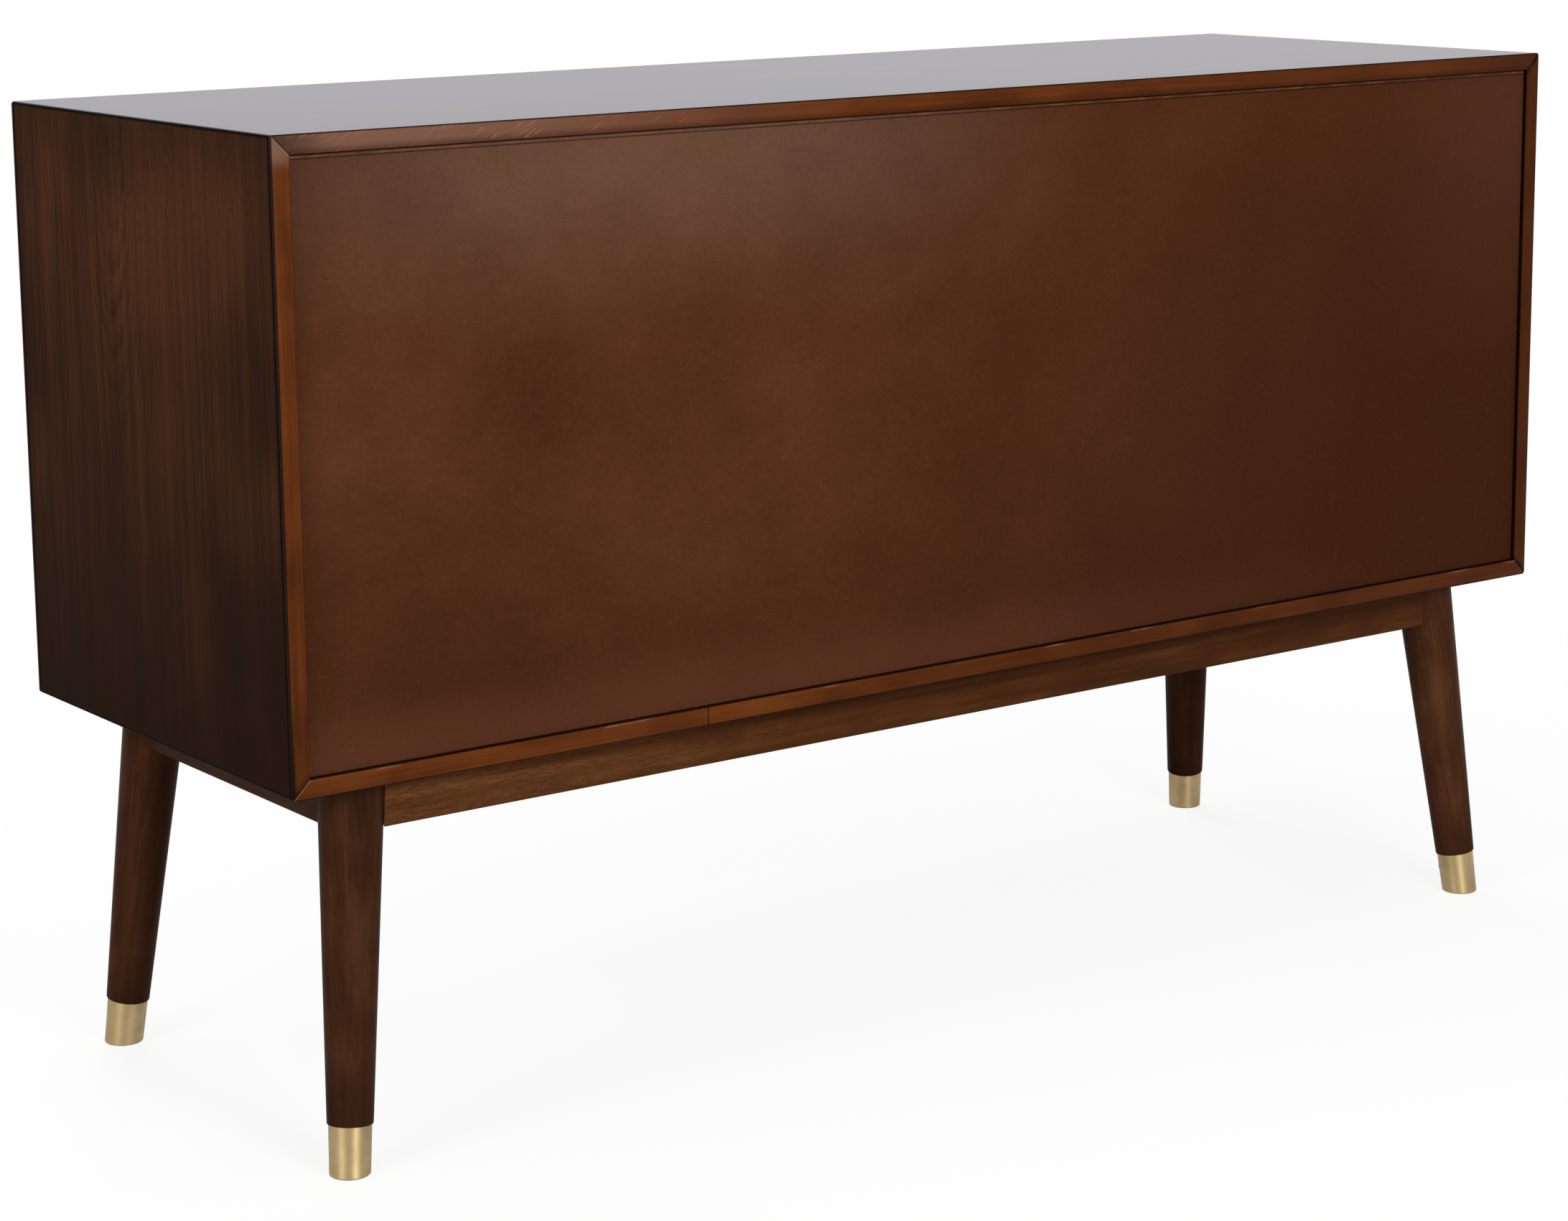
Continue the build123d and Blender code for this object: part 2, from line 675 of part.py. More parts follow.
def drawer(low):
    """The pieces of one drawer whose front starts at a height."""
    front_x = (-divider_inner + front_gap, divider_inner - front_gap)
    front_z = (low, low + drawer_front_height)
    knob_z = (front_z[0] + front_z[1]) / 2
    box_z = (low + drawer_box_rise, low + drawer_box_rise + drawer_box_height)
    bottom_z = (box_z[0] + drawer_bottom_rise, box_z[0] + drawer_bottom_rise + drawer_bottom_thickness)
    groove_z = (low + runner_rise, low + runner_rise + groove_height)
    bottom_reach = side_x[0] + drawer_bottom_groove
    bottom_groove = block(
        (-bottom_reach, bottom_reach),
        (box_y[0] - drawer_bottom_groove, box_y[1]),
        bottom_z,
    )
    runner_groove = block(
        (drawer_half - runner_groove_depth, drawer_half),
        (box_y[0] + runner_start, box_y[1]),
        groove_z,
    )

    side = block(side_x, box_y, box_z)
    side = fillet(side.faces().sort_by(Axis.Z)[-1].edges().filter_by(Axis.Y), drawer_top_ease)
    front = front_board(front_x, front_z) - knob_bore(0, knob_z) - bottom_groove
    for tail in dovetails(side_x, box_z[0]):
        side = side + tail
        front = front - tail - to_left(tail)
    side = side - runner_groove - bottom_groove
    slack = drawer_bottom_slack
    bottom = block(
        (-bottom_reach + slack, bottom_reach - slack),
        (box_y[0] - drawer_bottom_groove + slack, box_y[1]),
        bottom_z,
    )
    back = block((-side_x[0], side_x[0]), back_board_y, (bottom_z[1], box_z[1]))
    back = fillet(back.faces().sort_by(Axis.Z)[-1].edges().filter_by(Axis.X), drawer_top_ease)
    return {
        "front": front,
        "right_side": side,
        "left_side": to_left(side),
        "back": back,
        "bottom": bottom,
        "knob": knob(0, knob_z),
    }


def runner(low):
    """A right hand runner, screwed to the divider."""
    runner_low = low + runner_rise + runner_running_gap
    return block(runner_x, runner_y, (runner_low, runner_low + runner_height))


pieces["drawer_runners"] = []
for index, drawer_name in enumerate(drawer_names):
    drawer_low = front_heights[0] + index * (drawer_front_height + front_gap)
    for piece_name, shape in drawer(drawer_low).items():
        pieces[f"{drawer_name}_drawer_{piece_name}"] = shape
    pieces["drawer_runners"] += [runner(drawer_low), to_left(runner(drawer_low))]

pieces["top_panel"] = panels["top"]
pieces["bottom_panel"] = panels["bottom"]
for side in ("left", "right"):
    pieces[side + "_side_panel"] = panels[side]
    pieces[side + "_divider"] = dividers[side]

os.makedirs("parts", exist_ok=True)
for name, shape in pieces.items():
    solids = shape if isinstance(shape, list) else [shape]
    placed = [Pos(0, case_shift, 0) * solid for solid in solids]
    export_step(placed[0] if len(placed) == 1 else Compound(children=placed), f"parts/{name}.step")
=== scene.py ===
"""Finishes, small fittings and a studio for a walnut sideboard on splayed legs with brass ferrules."""

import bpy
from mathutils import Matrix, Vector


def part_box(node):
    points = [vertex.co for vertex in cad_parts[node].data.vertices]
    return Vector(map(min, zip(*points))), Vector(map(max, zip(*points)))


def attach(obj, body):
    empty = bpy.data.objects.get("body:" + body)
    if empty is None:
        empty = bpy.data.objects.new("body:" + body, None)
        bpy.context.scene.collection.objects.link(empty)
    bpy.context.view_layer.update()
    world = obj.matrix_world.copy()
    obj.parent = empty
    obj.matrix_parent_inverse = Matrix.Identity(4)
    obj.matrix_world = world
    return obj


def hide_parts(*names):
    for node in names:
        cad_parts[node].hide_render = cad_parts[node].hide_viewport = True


bl_info = {
    "name": "Sideboard buffet",
    "version": (1, 0, 0),
    "blender": (4, 5, 0),
    "location": "View3D > Sidebar > Sideboard",
    "description": "Finishes, edge strips, small fittings and a studio for a walnut sideboard",
    "category": "Object",
}

import math

import bmesh
import bpy
from bpy.props import FloatProperty, FloatVectorProperty, PointerProperty
from mathutils import Matrix, Vector

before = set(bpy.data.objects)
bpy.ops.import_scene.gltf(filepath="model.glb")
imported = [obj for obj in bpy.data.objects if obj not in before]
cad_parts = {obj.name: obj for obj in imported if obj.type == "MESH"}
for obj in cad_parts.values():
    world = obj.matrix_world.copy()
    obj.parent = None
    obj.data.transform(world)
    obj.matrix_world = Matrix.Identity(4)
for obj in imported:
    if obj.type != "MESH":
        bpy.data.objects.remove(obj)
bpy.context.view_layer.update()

MM = 0.001
MM_PER_METRE = 1000.0

# Places read from the frame, in metres
case_low, case_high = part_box("back_edge_lipping")
case_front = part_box("front_edge_lipping")[0].y
side_low, side_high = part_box("right_side_panel")
top_low, top_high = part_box("top_panel")
panel = top_high.z - top_low.z

# How the grain of a board is laid: the turn that brings its length onto Z
UPRIGHT = (0.0, 0.0, 0.0)
LENGTHWISE = (0.0, -math.pi / 2, 0.0)
FRONT_TO_BACK = (math.pi / 2, 0.0, 0.0)

# Planes of the side panels and the back board, as the axes that count in them
SIDE_PLANE = (0.0, 1.0, 1.0)
BACK_PLANE = (1.0, 0.0, 1.0)

# Sockets of the colour mixing node, whose names repeat
MIX_FACTOR, MIX_A, MIX_B, MIX_RESULT = 0, 6, 7, 2

WHITE = (1.0, 1.0, 1.0, 1.0)

# Edges that turn by more than this stay crisp
SHARP_ANGLE = math.radians(35.0)

# Screws of a hinge leaf: how far up it and how far in from its free edge, in millimetres
HINGE_SCREWS = ((9.0, 9.0), (25.0, 4.0), (41.0, 9.0))

# How far the screws of a strike and a catch, and a catch's poles, stand from the middle, in millimetres
STRIKE_SCREW_STEP = 10.0
CATCH_SCREW_STEP = 17.0
POLE_STEP = 3.0

# Sides of a round screw head, and the turn from one screw's slot to the next, in radians
HEAD_SIDES = 24
SLOT_TURN = 2.4

DRAWERS = ("lower", "middle", "upper")

# The four legs, and how light each one is painted, which stands in for the light and shade that fall on it
LEG_PAINTED_LIGHT = {"front_left": 0.85, "front_right": 1.12, "back_left": 1.4, "back_right": 1.0}

# Soft lamps: where each one stands, what it is aimed at, its width in metres, and if polished faces mirror it
LAMPS = {
    "back": ((0.45, 3.3, 1.5), (0.1, 0.2, 0.45), 1.2, True),
    "side": ((3.1, 0.8, 1.5), (0.6, 0.0, 0.45), 1.2, True),
    "front": ((-0.8, -3.6, 2.6), (0.0, -0.2, 0.5), 2.2, False),
    "overhead": ((0.0, 0.0, 3.6), (0.0, 0.0, 0.8), 2.4, False),
}


def linear(code):
    """An sRGB hex colour as linear red, green, blue and alpha."""
    parts = [int(code[i:i + 2], 16) / 255 for i in (1, 3, 5)]
    return [p / 12.92 if p <= 0.04045 else ((p + 0.055) / 1.055) ** 2.4 for p in parts] + [1.0]


def colour(label, description, code):
    """A colour that a user can change."""
    return FloatVectorProperty(name=label, description=description, subtype="COLOR", size=4,
                               min=0.0, max=1.0, default=linear(code))


def length(label, description, millimetres):
    """A size that a user can change."""
    return FloatProperty(name=label, description=description, unit="LENGTH", default=millimetres * MM)


def angle(label, description, degrees):
    """A turn that a user can change."""
    return FloatProperty(name=label, description=description, subtype="ANGLE", default=math.radians(degrees))


def power(label, description, watts):
    """A lamp's strength that a user can change."""
    return FloatProperty(name=label, description=description, unit="POWER", default=watts)


class SideboardSizes(bpy.types.PropertyGroup):
    """Sizes of the pieces that are modelled here."""
    strip_ease: length("Strip easing", "Rounding of an edge strip's shown edges and joints", 0.45)
    corner_radius: length("Case corner", "Radius of the case's long corners", 2.5)
    butt_joint: length("Butt joint", "Place of the butt joint along the bottom back strip", 286.0)
    screw_head: length("Screw head", "Diameter of the hinge and catch screws' heads", 4.6)
    screw_slot: length("Screw slot", "Width of a screw's slot", 0.9)
    hinge_height: length("Hinge height", "Height of a hinge's leaves", 50.0)
    hinge_leaf: length("Hinge leaf", "Thickness of a hinge's leaves", 0.9)
    pole_length: length("Pole length", "Length of a catch's two steel poles", 30.0)
    pole_height: length("Pole height", "Height of a catch's steel pole", 1.8)


class SideboardColours(bpy.types.PropertyGroup):
    """Colours of the finishes."""
    veneer_deep: colour("Veneer, deep", "Darkest streaks of the walnut veneer", "#1e120b")
    veneer_body: colour("Veneer, body", "Main tone of the walnut veneer", "#3e2517")
    veneer_red: colour("Veneer, red", "Red-brown streaks of the walnut veneer", "#4c2613")
    veneer_light: colour("Veneer, light", "Palest streaks of the walnut veneer", "#5f3a22")
    # Also painted shadow in the seams and recess round the back board, and painted shade in the screw slots
    veneer_edge: colour("Veneer, edge", "Stain gathered along the case's corners", "#0d0705")
    # Also painted shade where the light falls off towards one end and the foot of the back board
    back_shade: colour("Back, shade", "Thick paint on the back board", "#381b0c")
    back_body: colour("Back, body", "Main tone of the back board", "#4f2b18")
    # Also painted light along the back board's foot
    back_glow: colour("Back, glow", "Thin paint on the back board", "#613928")
    back_warm: colour("Back, warm", "Redder paint towards one end of the back board", "#44200b")
    back_fibre: colour("Back, fibre", "Pressed fibres that show through the paint", "#80502c")
    # Painted sheen near the back board's upper edge
    back_painted_sheen: colour("Back, haze", "Pale overspray near the back board's upper edge", "#947e6b")
    back_raw: colour("Back, raw edge", "Bare fibre at the back board's upper edge", "#7a4c30")
    strip_deep: colour("Strip, deep", "Darkest grain of the back edge strips", "#341808")
    strip_body: colour("Strip, body", "Main tone of the back edge strips", "#592c10")
    strip_light: colour("Strip, light", "Palest grain of the back edge strips", "#703c18")
    # Painted sheen on the upper back edge strip and the stiles' upper ends
    strip_painted_sheen: colour("Strip, top", "Thin brown stain on the upper back edge strip", "#704f40")
    strip_scratch: colour("Strip, scratch", "Fine scratches in the upper back edge strip", "#a07050")
    apron_deep: colour("Apron, deep", "Darkest grain of the aprons", "#331b0c")
    apron_body: colour("Apron, body", "Main tone of the aprons", "#4a2813")
    apron_light: colour("Apron, light", "Palest grain of the aprons", "#5f3920")
    apron_gold: colour("Apron, gold", "Thin stain near the ends of the aprons", "#774d2c")
    leg_deep: colour("Leg, deep", "Darkest grain of the legs", "#22120a")
    leg_body: colour("Leg, body", "Main tone of the legs", "#3c2213")
    leg_light: colour("Leg, light", "Palest grain of the legs", "#54341f")
    brass: colour("Brass", "Ferrules, knobs and hinges", "#bda57a")
    brass_tarnish: colour("Brass, tarnish", "Handled and aged brass", "#ae9669")
    steel: colour("Steel", "Zinc-plated screws, bolts and plates", "#c4c6c8")
    steel_dull: colour("Steel, dull", "Dull patches of the zinc plate", "#9da0a3")
    catch: colour("Catch", "Moulded brown plastic", "#4b2e20")
    catch_pale: colour("Catch, pale", "Raised grain of the moulded plastic", "#563626")
    beech_deep: colour("Beech, deep", "Darkest grain of the drawer sides", "#a9794f")
    beech_body: colour("Beech, body", "Main tone of the drawer sides", "#c79a6b")
    beech_light: colour("Beech, light", "Palest grain of the drawer sides", "#d8b085")
    birch_deep: colour("Birch, deep", "Darkest grain of the drawer bottoms", "#bb9264")
    birch_body: colour("Birch, body", "Main tone of the drawer bottoms", "#d0ab7d")
    birch_light: colour("Birch, light", "Palest grain of the drawer bottoms", "#dfc096")
    floor: colour("Floor", "Studio floor", "#f2f2f2")
    floor_bounce: colour("Floor, bounce", "Light that the floor throws back on the object", "#a8a8a8")
    sky: colour("Studio sky", "What polished faces mirror", "#f4f7ff")


class SideboardStudio(bpy.types.PropertyGroup):
    """Camera and light."""
    camera_place: FloatVectorProperty(name="Camera", description="Where the camera stands",
                                      subtype="TRANSLATION", default=(1.885, 2.532, 1.016))
    azimuth: angle("Azimuth", "Compass angle of the camera, 0 in front", 143.92)
    pitch: angle("Pitch", "How far the camera looks down", 10.39)
    roll: angle("Roll", "Tilt of the camera", -0.55)
    focal: FloatProperty(name="Focal length", description="Lens, for a 36 mm sensor", default=82.9)
    rise: FloatProperty(name="Lens shift", description="Upward shift of the lens", default=-0.08)
    back_light: power("Back light", "Power of the light on the back", 72.0)
    side_light: power("Side light", "Power of the light on the right side", 40.0)
    front_light: power("Front light", "Power of the light on the front", 80.0)
    overhead_light: power("Overhead light", "Power of the light above", 40.0)
    ambient: FloatProperty(name="Ambient light", description="Light from all round", default=0.42)


def sizes():
    """Sizes that are set in the scene."""
    return bpy.context.scene.sideboard_sizes


def colours():
    """Colours that are set in the scene."""
    return bpy.context.scene.sideboard_colours


def studio():
    """Camera and light that are set in the scene."""
    return bpy.context.scene.sideboard_studio


def add(tree, kind, inputs=None, out=0, stops=(), **settings):
    """Adds a node with its settings, feeds it values or sockets, and gives one of its outputs."""
    node = tree.nodes.new(kind)
    for name, value in settings.items():
        setattr(node, name, value)
    for name, value in (inputs or {}).items():
        if isinstance(value, bpy.types.NodeSocket):
            tree.links.new(value, node.inputs[name])
        else:
            node.inputs[name].default_value = value
    for index, (place, tone) in enumerate(stops):
        elements = node.color_ramp.elements
        element = elements[index] if index < len(elements) else elements.new(place)
        element.position = place
        element.color = tone
    return node.outputs if out is None else node.outputs[out]


def new_tree(name):
    """An empty material and its node tree."""
    material = bpy.data.materials.new(name)
    material.use_nodes = True
    material.node_tree.nodes.clear()
    return material, material.node_tree


def dress(nodes, material):
    """Gives CAD nodes a finish."""
    for node in nodes:
        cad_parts[node].material_slots[0].material = material


def grain_space(tree, turn):
    """Millimetres in the piece's own wood, with Z along the grain."""
    place = add(tree, "ShaderNodeTexCoord", out="Object")
    inputs = {"Vector": place, "Rotation": turn, "Scale": (MM_PER_METRE,) * 3}
    return add(tree, "ShaderNodeMapping", inputs)


def axes(tree):
    """Places along X, Y and Z in millimetres."""
    return add(tree, "ShaderNodeSeparateXYZ", {0: grain_space(tree, UPRIGHT)}, out=None)


def grain_noise(tree, space, across, along, detail=2.0, rough=0.5, out="Fac"):
    """Noise whose lumps measure across and along the grain in millimetres."""
    scale = (1 / across, 1 / across, 1 / along)
    stretched = add(tree, "ShaderNodeMapping", {"Vector": space, "Scale": scale})
    inputs = {"Vector": stretched, "Scale": 1.0, "Detail": detail, "Roughness": rough}
    return add(tree, "ShaderNodeTexNoise", inputs, out)


def wavering(tree, space, across, along, amount):
    """The same wood with its grain pushed aside, by up to half this many millimetres."""
    push = grain_noise(tree, space, across, along, out="Color")
    inputs = {0: push, 1: (amount, amount, 0.0), 2: space}
    return add(tree, "ShaderNodeVectorMath", inputs, operation="MULTIPLY_ADD")


def sum_of(tree, *parts):
    """Weighted sum of sockets."""
    total = 0.0
    for socket, weight in parts:
        total = add(tree, "ShaderNodeMath", {0: socket, 1: weight, 2: total}, operation="MULTIPLY_ADD")
    return total


def soft_mask(tree, *steps):
    """Product of soft steps: a value, where it starts and ends, and its share at both, if not 0 and 1."""
    mask = None
    for value, low, high, *shares in steps:
        start, end = shares or (0.0, 1.0)
        inputs = {"Value": value, "From Min": low, "From Max": high, "To Min": start, "To Max": end}
        step = add(tree, "ShaderNodeMapRange", inputs, interpolation_type="SMOOTHSTEP")
        if mask is None:
            mask = step
        else:
            mask = add(tree, "ShaderNodeMath", {0: mask, 1: step}, operation="MULTIPLY")
    return mask


def lay_over(tree, under, *layers):
    """Lays colours over another one in turn, each where its soft steps let it show."""
    for over, *steps in layers:
        inputs = {MIX_FACTOR: soft_mask(tree, *steps), MIX_A: under, MIX_B: over}
        under = add(tree, "ShaderNodeMix", inputs, MIX_RESULT, data_type="RGBA")
    return under


def border_room(tree, low, high):
    """Millimetres from the nearest borders of a box, along X, Y and Z."""
    centre = (low + high) / 2 * MM_PER_METRE
    half = (high - low) / 2 * MM_PER_METRE
    space = grain_space(tree, UPRIGHT)
    offset = add(tree, "ShaderNodeVectorMath", {0: space, 1: centre}, operation="SUBTRACT")
    size = add(tree, "ShaderNodeVectorMath", {0: offset}, operation="ABSOLUTE")
    room = add(tree, "ShaderNodeVectorMath", {0: half, 1: size}, operation="SUBTRACT")
    return add(tree, "ShaderNodeSeparateXYZ", {0: room}, out=None)


def distance_from(tree, space, spot, plane):
    """Millimetres from a spot on a board, measured in the board's plane."""
    flat = add(tree, "ShaderNodeVectorMath", {0: space, 1: plane}, operation="MULTIPLY")
    return add(tree, "ShaderNodeVectorMath", {0: flat, 1: spot}, "Value", operation="DISTANCE")


def growth_rings(tree, space, pith, lean, pitch):
    """Rings round a pith that leans through the board, which cut its face as arches and lines."""
    inputs = {"Vector": space, "Location": pith, "Rotation": lean}
    turned = add(tree, "ShaderNodeMapping", inputs, vector_type="TEXTURE")
    flat = add(tree, "ShaderNodeVectorMath", {0: turned, 1: (1.0, 1.0, 0.0)}, operation="MULTIPLY")
    radius = add(tree, "ShaderNodeVectorMath", {0: flat}, "Value", operation="LENGTH")
    count = add(tree, "ShaderNodeMath", {0: radius, 1: pitch}, operation="DIVIDE")
    part = add(tree, "ShaderNodeMath", {0: count}, operation="FRACT")
    return soft_mask(tree, (part, 0.15, 0.85), (part, 0.85, 1.0, 1.0, 0.0))


def surface(tree, inputs):
    """Ends a material's tree with its shader."""
    shader = add(tree, "ShaderNodeBsdfPrincipled", inputs)
    add(tree, "ShaderNodeOutputMaterial", {"Surface": shader}, out=None)


def wood(name, tones, turn, pith, lean, figure, marks=None):
    """Sliced or sawn wood under stain and lacquer: rings, streaks and pores, and clouds of stain."""
    material, tree = new_tree(name)
    deep, body, light = tones
    space = grain_space(tree, turn)
    bent = wavering(tree, space, 45.0, 260.0, figure["wander"])
    patches = grain_noise(tree, space, 22.0, 90.0)
    streaks = grain_noise(tree, bent, figure["streak_width"], figure["streak_length"], 6.0, figure["fine"])
    clouds = grain_noise(tree, space, figure["cloud"], 2.0 * figure["cloud"], 3.0, 0.55)
    pores = grain_noise(tree, bent, figure["pore_width"], figure["pore_length"], 1.0)

    # Rings waver, show in patches, and begin where the pith starts along the grain
    curled = wavering(tree, wavering(tree, space, 70.0, 300.0, 5.0), 9.0, 26.0, 1.6)
    rings = growth_rings(tree, curled, pith, lean, figure["ring_pitch"])
    along = add(tree, "ShaderNodeSeparateXYZ", {0: space}, "Z")
    begun = (along, pith[2] - 130.0, pith[2] + 10.0)
    rings = soft_mask(tree, (rings, 0.0, 1.0), (patches, 0.3, 0.6, 0.3, 1.0), begun)

    tone = sum_of(tree, (streaks, figure["streaks"]), (clouds, figure["clouds"]), (rings, -figure["rings"]))
    middle = 0.5 * (figure["streaks"] + figure["clouds"]) - 0.15 * figure["rings"]
    spread = 0.3
    inputs = {"Value": tone, "From Min": middle - spread, "From Max": middle + spread}
    level = add(tree, "ShaderNodeMapRange", inputs)
    stops = ((0.0, deep), (0.5, body), (1.0, light))
    stain = add(tree, "ShaderNodeValToRGB", {"Fac": level}, stops=stops)
    shown = figure["pores"]
    open_pores = soft_mask(tree, (pores, 0.56, 0.74), (patches, 0.35, 0.65, 0.3 * shown, shown))
    stain = lay_over(tree, stain, (deep, (open_pores, 0.0, 1.0)))
    if marks is not None:
        stain = marks(tree, space, stain, clouds)

    relief = sum_of(tree, (open_pores, -1.0), (streaks, 0.6))
    inputs = {"Height": relief, "Strength": figure["relief"], "Distance": 0.4 * MM}
    normal = add(tree, "ShaderNodeBump", inputs)
    uneven = figure["uneven"]
    smooth = figure["roughness"] - 0.08 * uneven
    rough = sum_of(tree, (clouds, 0.16 * uneven), (open_pores, 0.12 * uneven), (smooth, 1.0))
    surface(tree, {"Base Color": stain, "Roughness": rough, "Normal": normal, "IOR": figure["ior"]})
    return material


# Figure of each wood: sizes in millimetres, and how strongly each trait shows
VENEER = {
    "ring_pitch": 2.6, "rings": 0.16,
    "streak_width": 12.0, "streak_length": 620.0, "fine": 0.74, "streaks": 0.75,
    "pore_width": 0.8, "pore_length": 16.0, "pores": 0.45,
    "cloud": 85.0, "clouds": 0.42, "wander": 7.0,
    "roughness": 0.34, "uneven": 1.0, "ior": 1.03, "relief": 0.02,
}
POLISHED_VENEER = {**VENEER, "roughness": 0.17, "uneven": 0.1, "ior": 1.14, "relief": 0.002}
STAINED_BEECH = {
    "ring_pitch": 4.0, "rings": 0.06,
    "streak_width": 8.0, "streak_length": 150.0, "fine": 0.66, "streaks": 0.6,
    "pore_width": 0.9, "pore_length": 7.0, "pores": 0.4,
    "cloud": 28.0, "clouds": 0.5, "wander": 5.0,
    "roughness": 0.36, "uneven": 1.0, "ior": 1.07, "relief": 0.10,
}
EDGE_STRIP = {
    "ring_pitch": 5.0, "rings": 0.0,
    "streak_width": 3.0, "streak_length": 160.0, "fine": 0.62, "streaks": 0.45,
    "pore_width": 0.8, "pore_length": 9.0, "pores": 0.2,
    "cloud": 45.0, "clouds": 0.8, "wander": 3.0,
    "roughness": 0.34, "uneven": 1.0, "ior": 1.1, "relief": 0.06,
}
PLAIN_BEECH = {
    "ring_pitch": 5.0, "rings": 0.10,
    "streak_width": 6.0, "streak_length": 180.0, "fine": 0.62, "streaks": 0.6,
    "pore_width": 0.7, "pore_length": 4.0, "pores": 0.3,
    "cloud": 60.0, "clouds": 0.6, "wander": 6.0,
    "roughness": 0.45, "uneven": 1.0, "ior": 1.4, "relief": 0.12,
}

# Smoky and thin patches of a side panel's stain: how far back, how high and how wide each one is,
# in millimetres, and how strongly it shows
SMOKE = ((-70.0, 760.0, 60.0, 0.35), (-205.0, 600.0, 110.0, 0.45), (205.0, 580.0, 120.0, 0.45),
         (-40.0, 560.0, 130.0, 0.3), (200.0, 420.0, 140.0, 0.4))
THIN = ((30.0, 730.0, 150.0, 0.5), (170.0, 750.0, 90.0, 0.4))


def edge_lines(tree, stain, clouds, low, high, lines):
    """Stain gathered along a case panel's corners: a dark line, and a darker margin beside it."""
    tint = colours()
    room = border_room(tree, low, high)
    first, second = (room[axis] for axis in lines)
    nearest = add(tree, "ShaderNodeMath", {0: first, 1: second}, operation="MINIMUM")
    margin = sum_of(tree, (nearest, 1.0), (clouds, 90.0))
    layers = [(tint.veneer_deep, (margin, 45.0, 110.0, 0.35, 0.0))]
    for axis, width in lines.items():
        ragged = sum_of(tree, (clouds, -0.5 * width), (room[axis], 1.0))
        layers.append((tint.veneer_edge, (ragged, 0.2 * width, width, 0.95, 0.0)))
    return lay_over(tree, stain, *layers)


def top_marks(tree, space, stain, clouds):
    """Dark lines along the top panel's edges."""
    return edge_lines(tree, stain, clouds, top_low, top_high, {0: 2.2, 1: 2.2})


def bottom_marks(tree, space, stain, clouds):
    """Dark lines along the bottom panel's edges, with painted shadow in the groove behind the back board."""
    return edge_lines(tree, stain, clouds, *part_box("bottom_panel"), {0: 2.2, 1: 6.0})


def side_marks(tree, space, stain, clouds):
    """Red streaks, thin and smoky patches and a darker foot of a side panel, the foot partly painted shade,
    under lines at its corners.
    """
    tint = colours()
    red = grain_noise(tree, space, 6.0, 500.0, 4.0, 0.7)
    flecks = grain_noise(tree, space, 1.2, 8.0, 2.0, 0.6)
    layers = [(tint.veneer_red, (red, 0.46, 0.62, 0.0, 0.65))]
    golden = (tint.veneer_light, (flecks, 0.35, 0.65, 0.2, 1.0))
    blur = 80.0
    for patches, (tone, *broken) in ((THIN, golden), (SMOKE, (tint.veneer_deep,))):
        for back, up, reach, share in patches:
            distance = distance_from(tree, space, (0.0, back, up), SIDE_PLANE)
            ragged = sum_of(tree, (distance, 1.0), (clouds, blur))
            layers.append((tone, (ragged, 0.5 * blur, 0.5 * blur + reach, share, 0.0), *broken))
    # The foot is darker partly in the stain and partly as painted shade, where less light falls low on the
    # panel
    height = add(tree, "ShaderNodeSeparateXYZ", {0: space}, "Z")
    uneven = sum_of(tree, (height, 1.0), (clouds, 160.0))
    layers.append((tint.veneer_deep, (uneven, 380.0, 780.0, 0.8, 0.0)))
    stain = lay_over(tree, stain, *layers)
    return edge_lines(tree, stain, clouds, side_low, side_high, {1: 4.0, 2: 2.2})


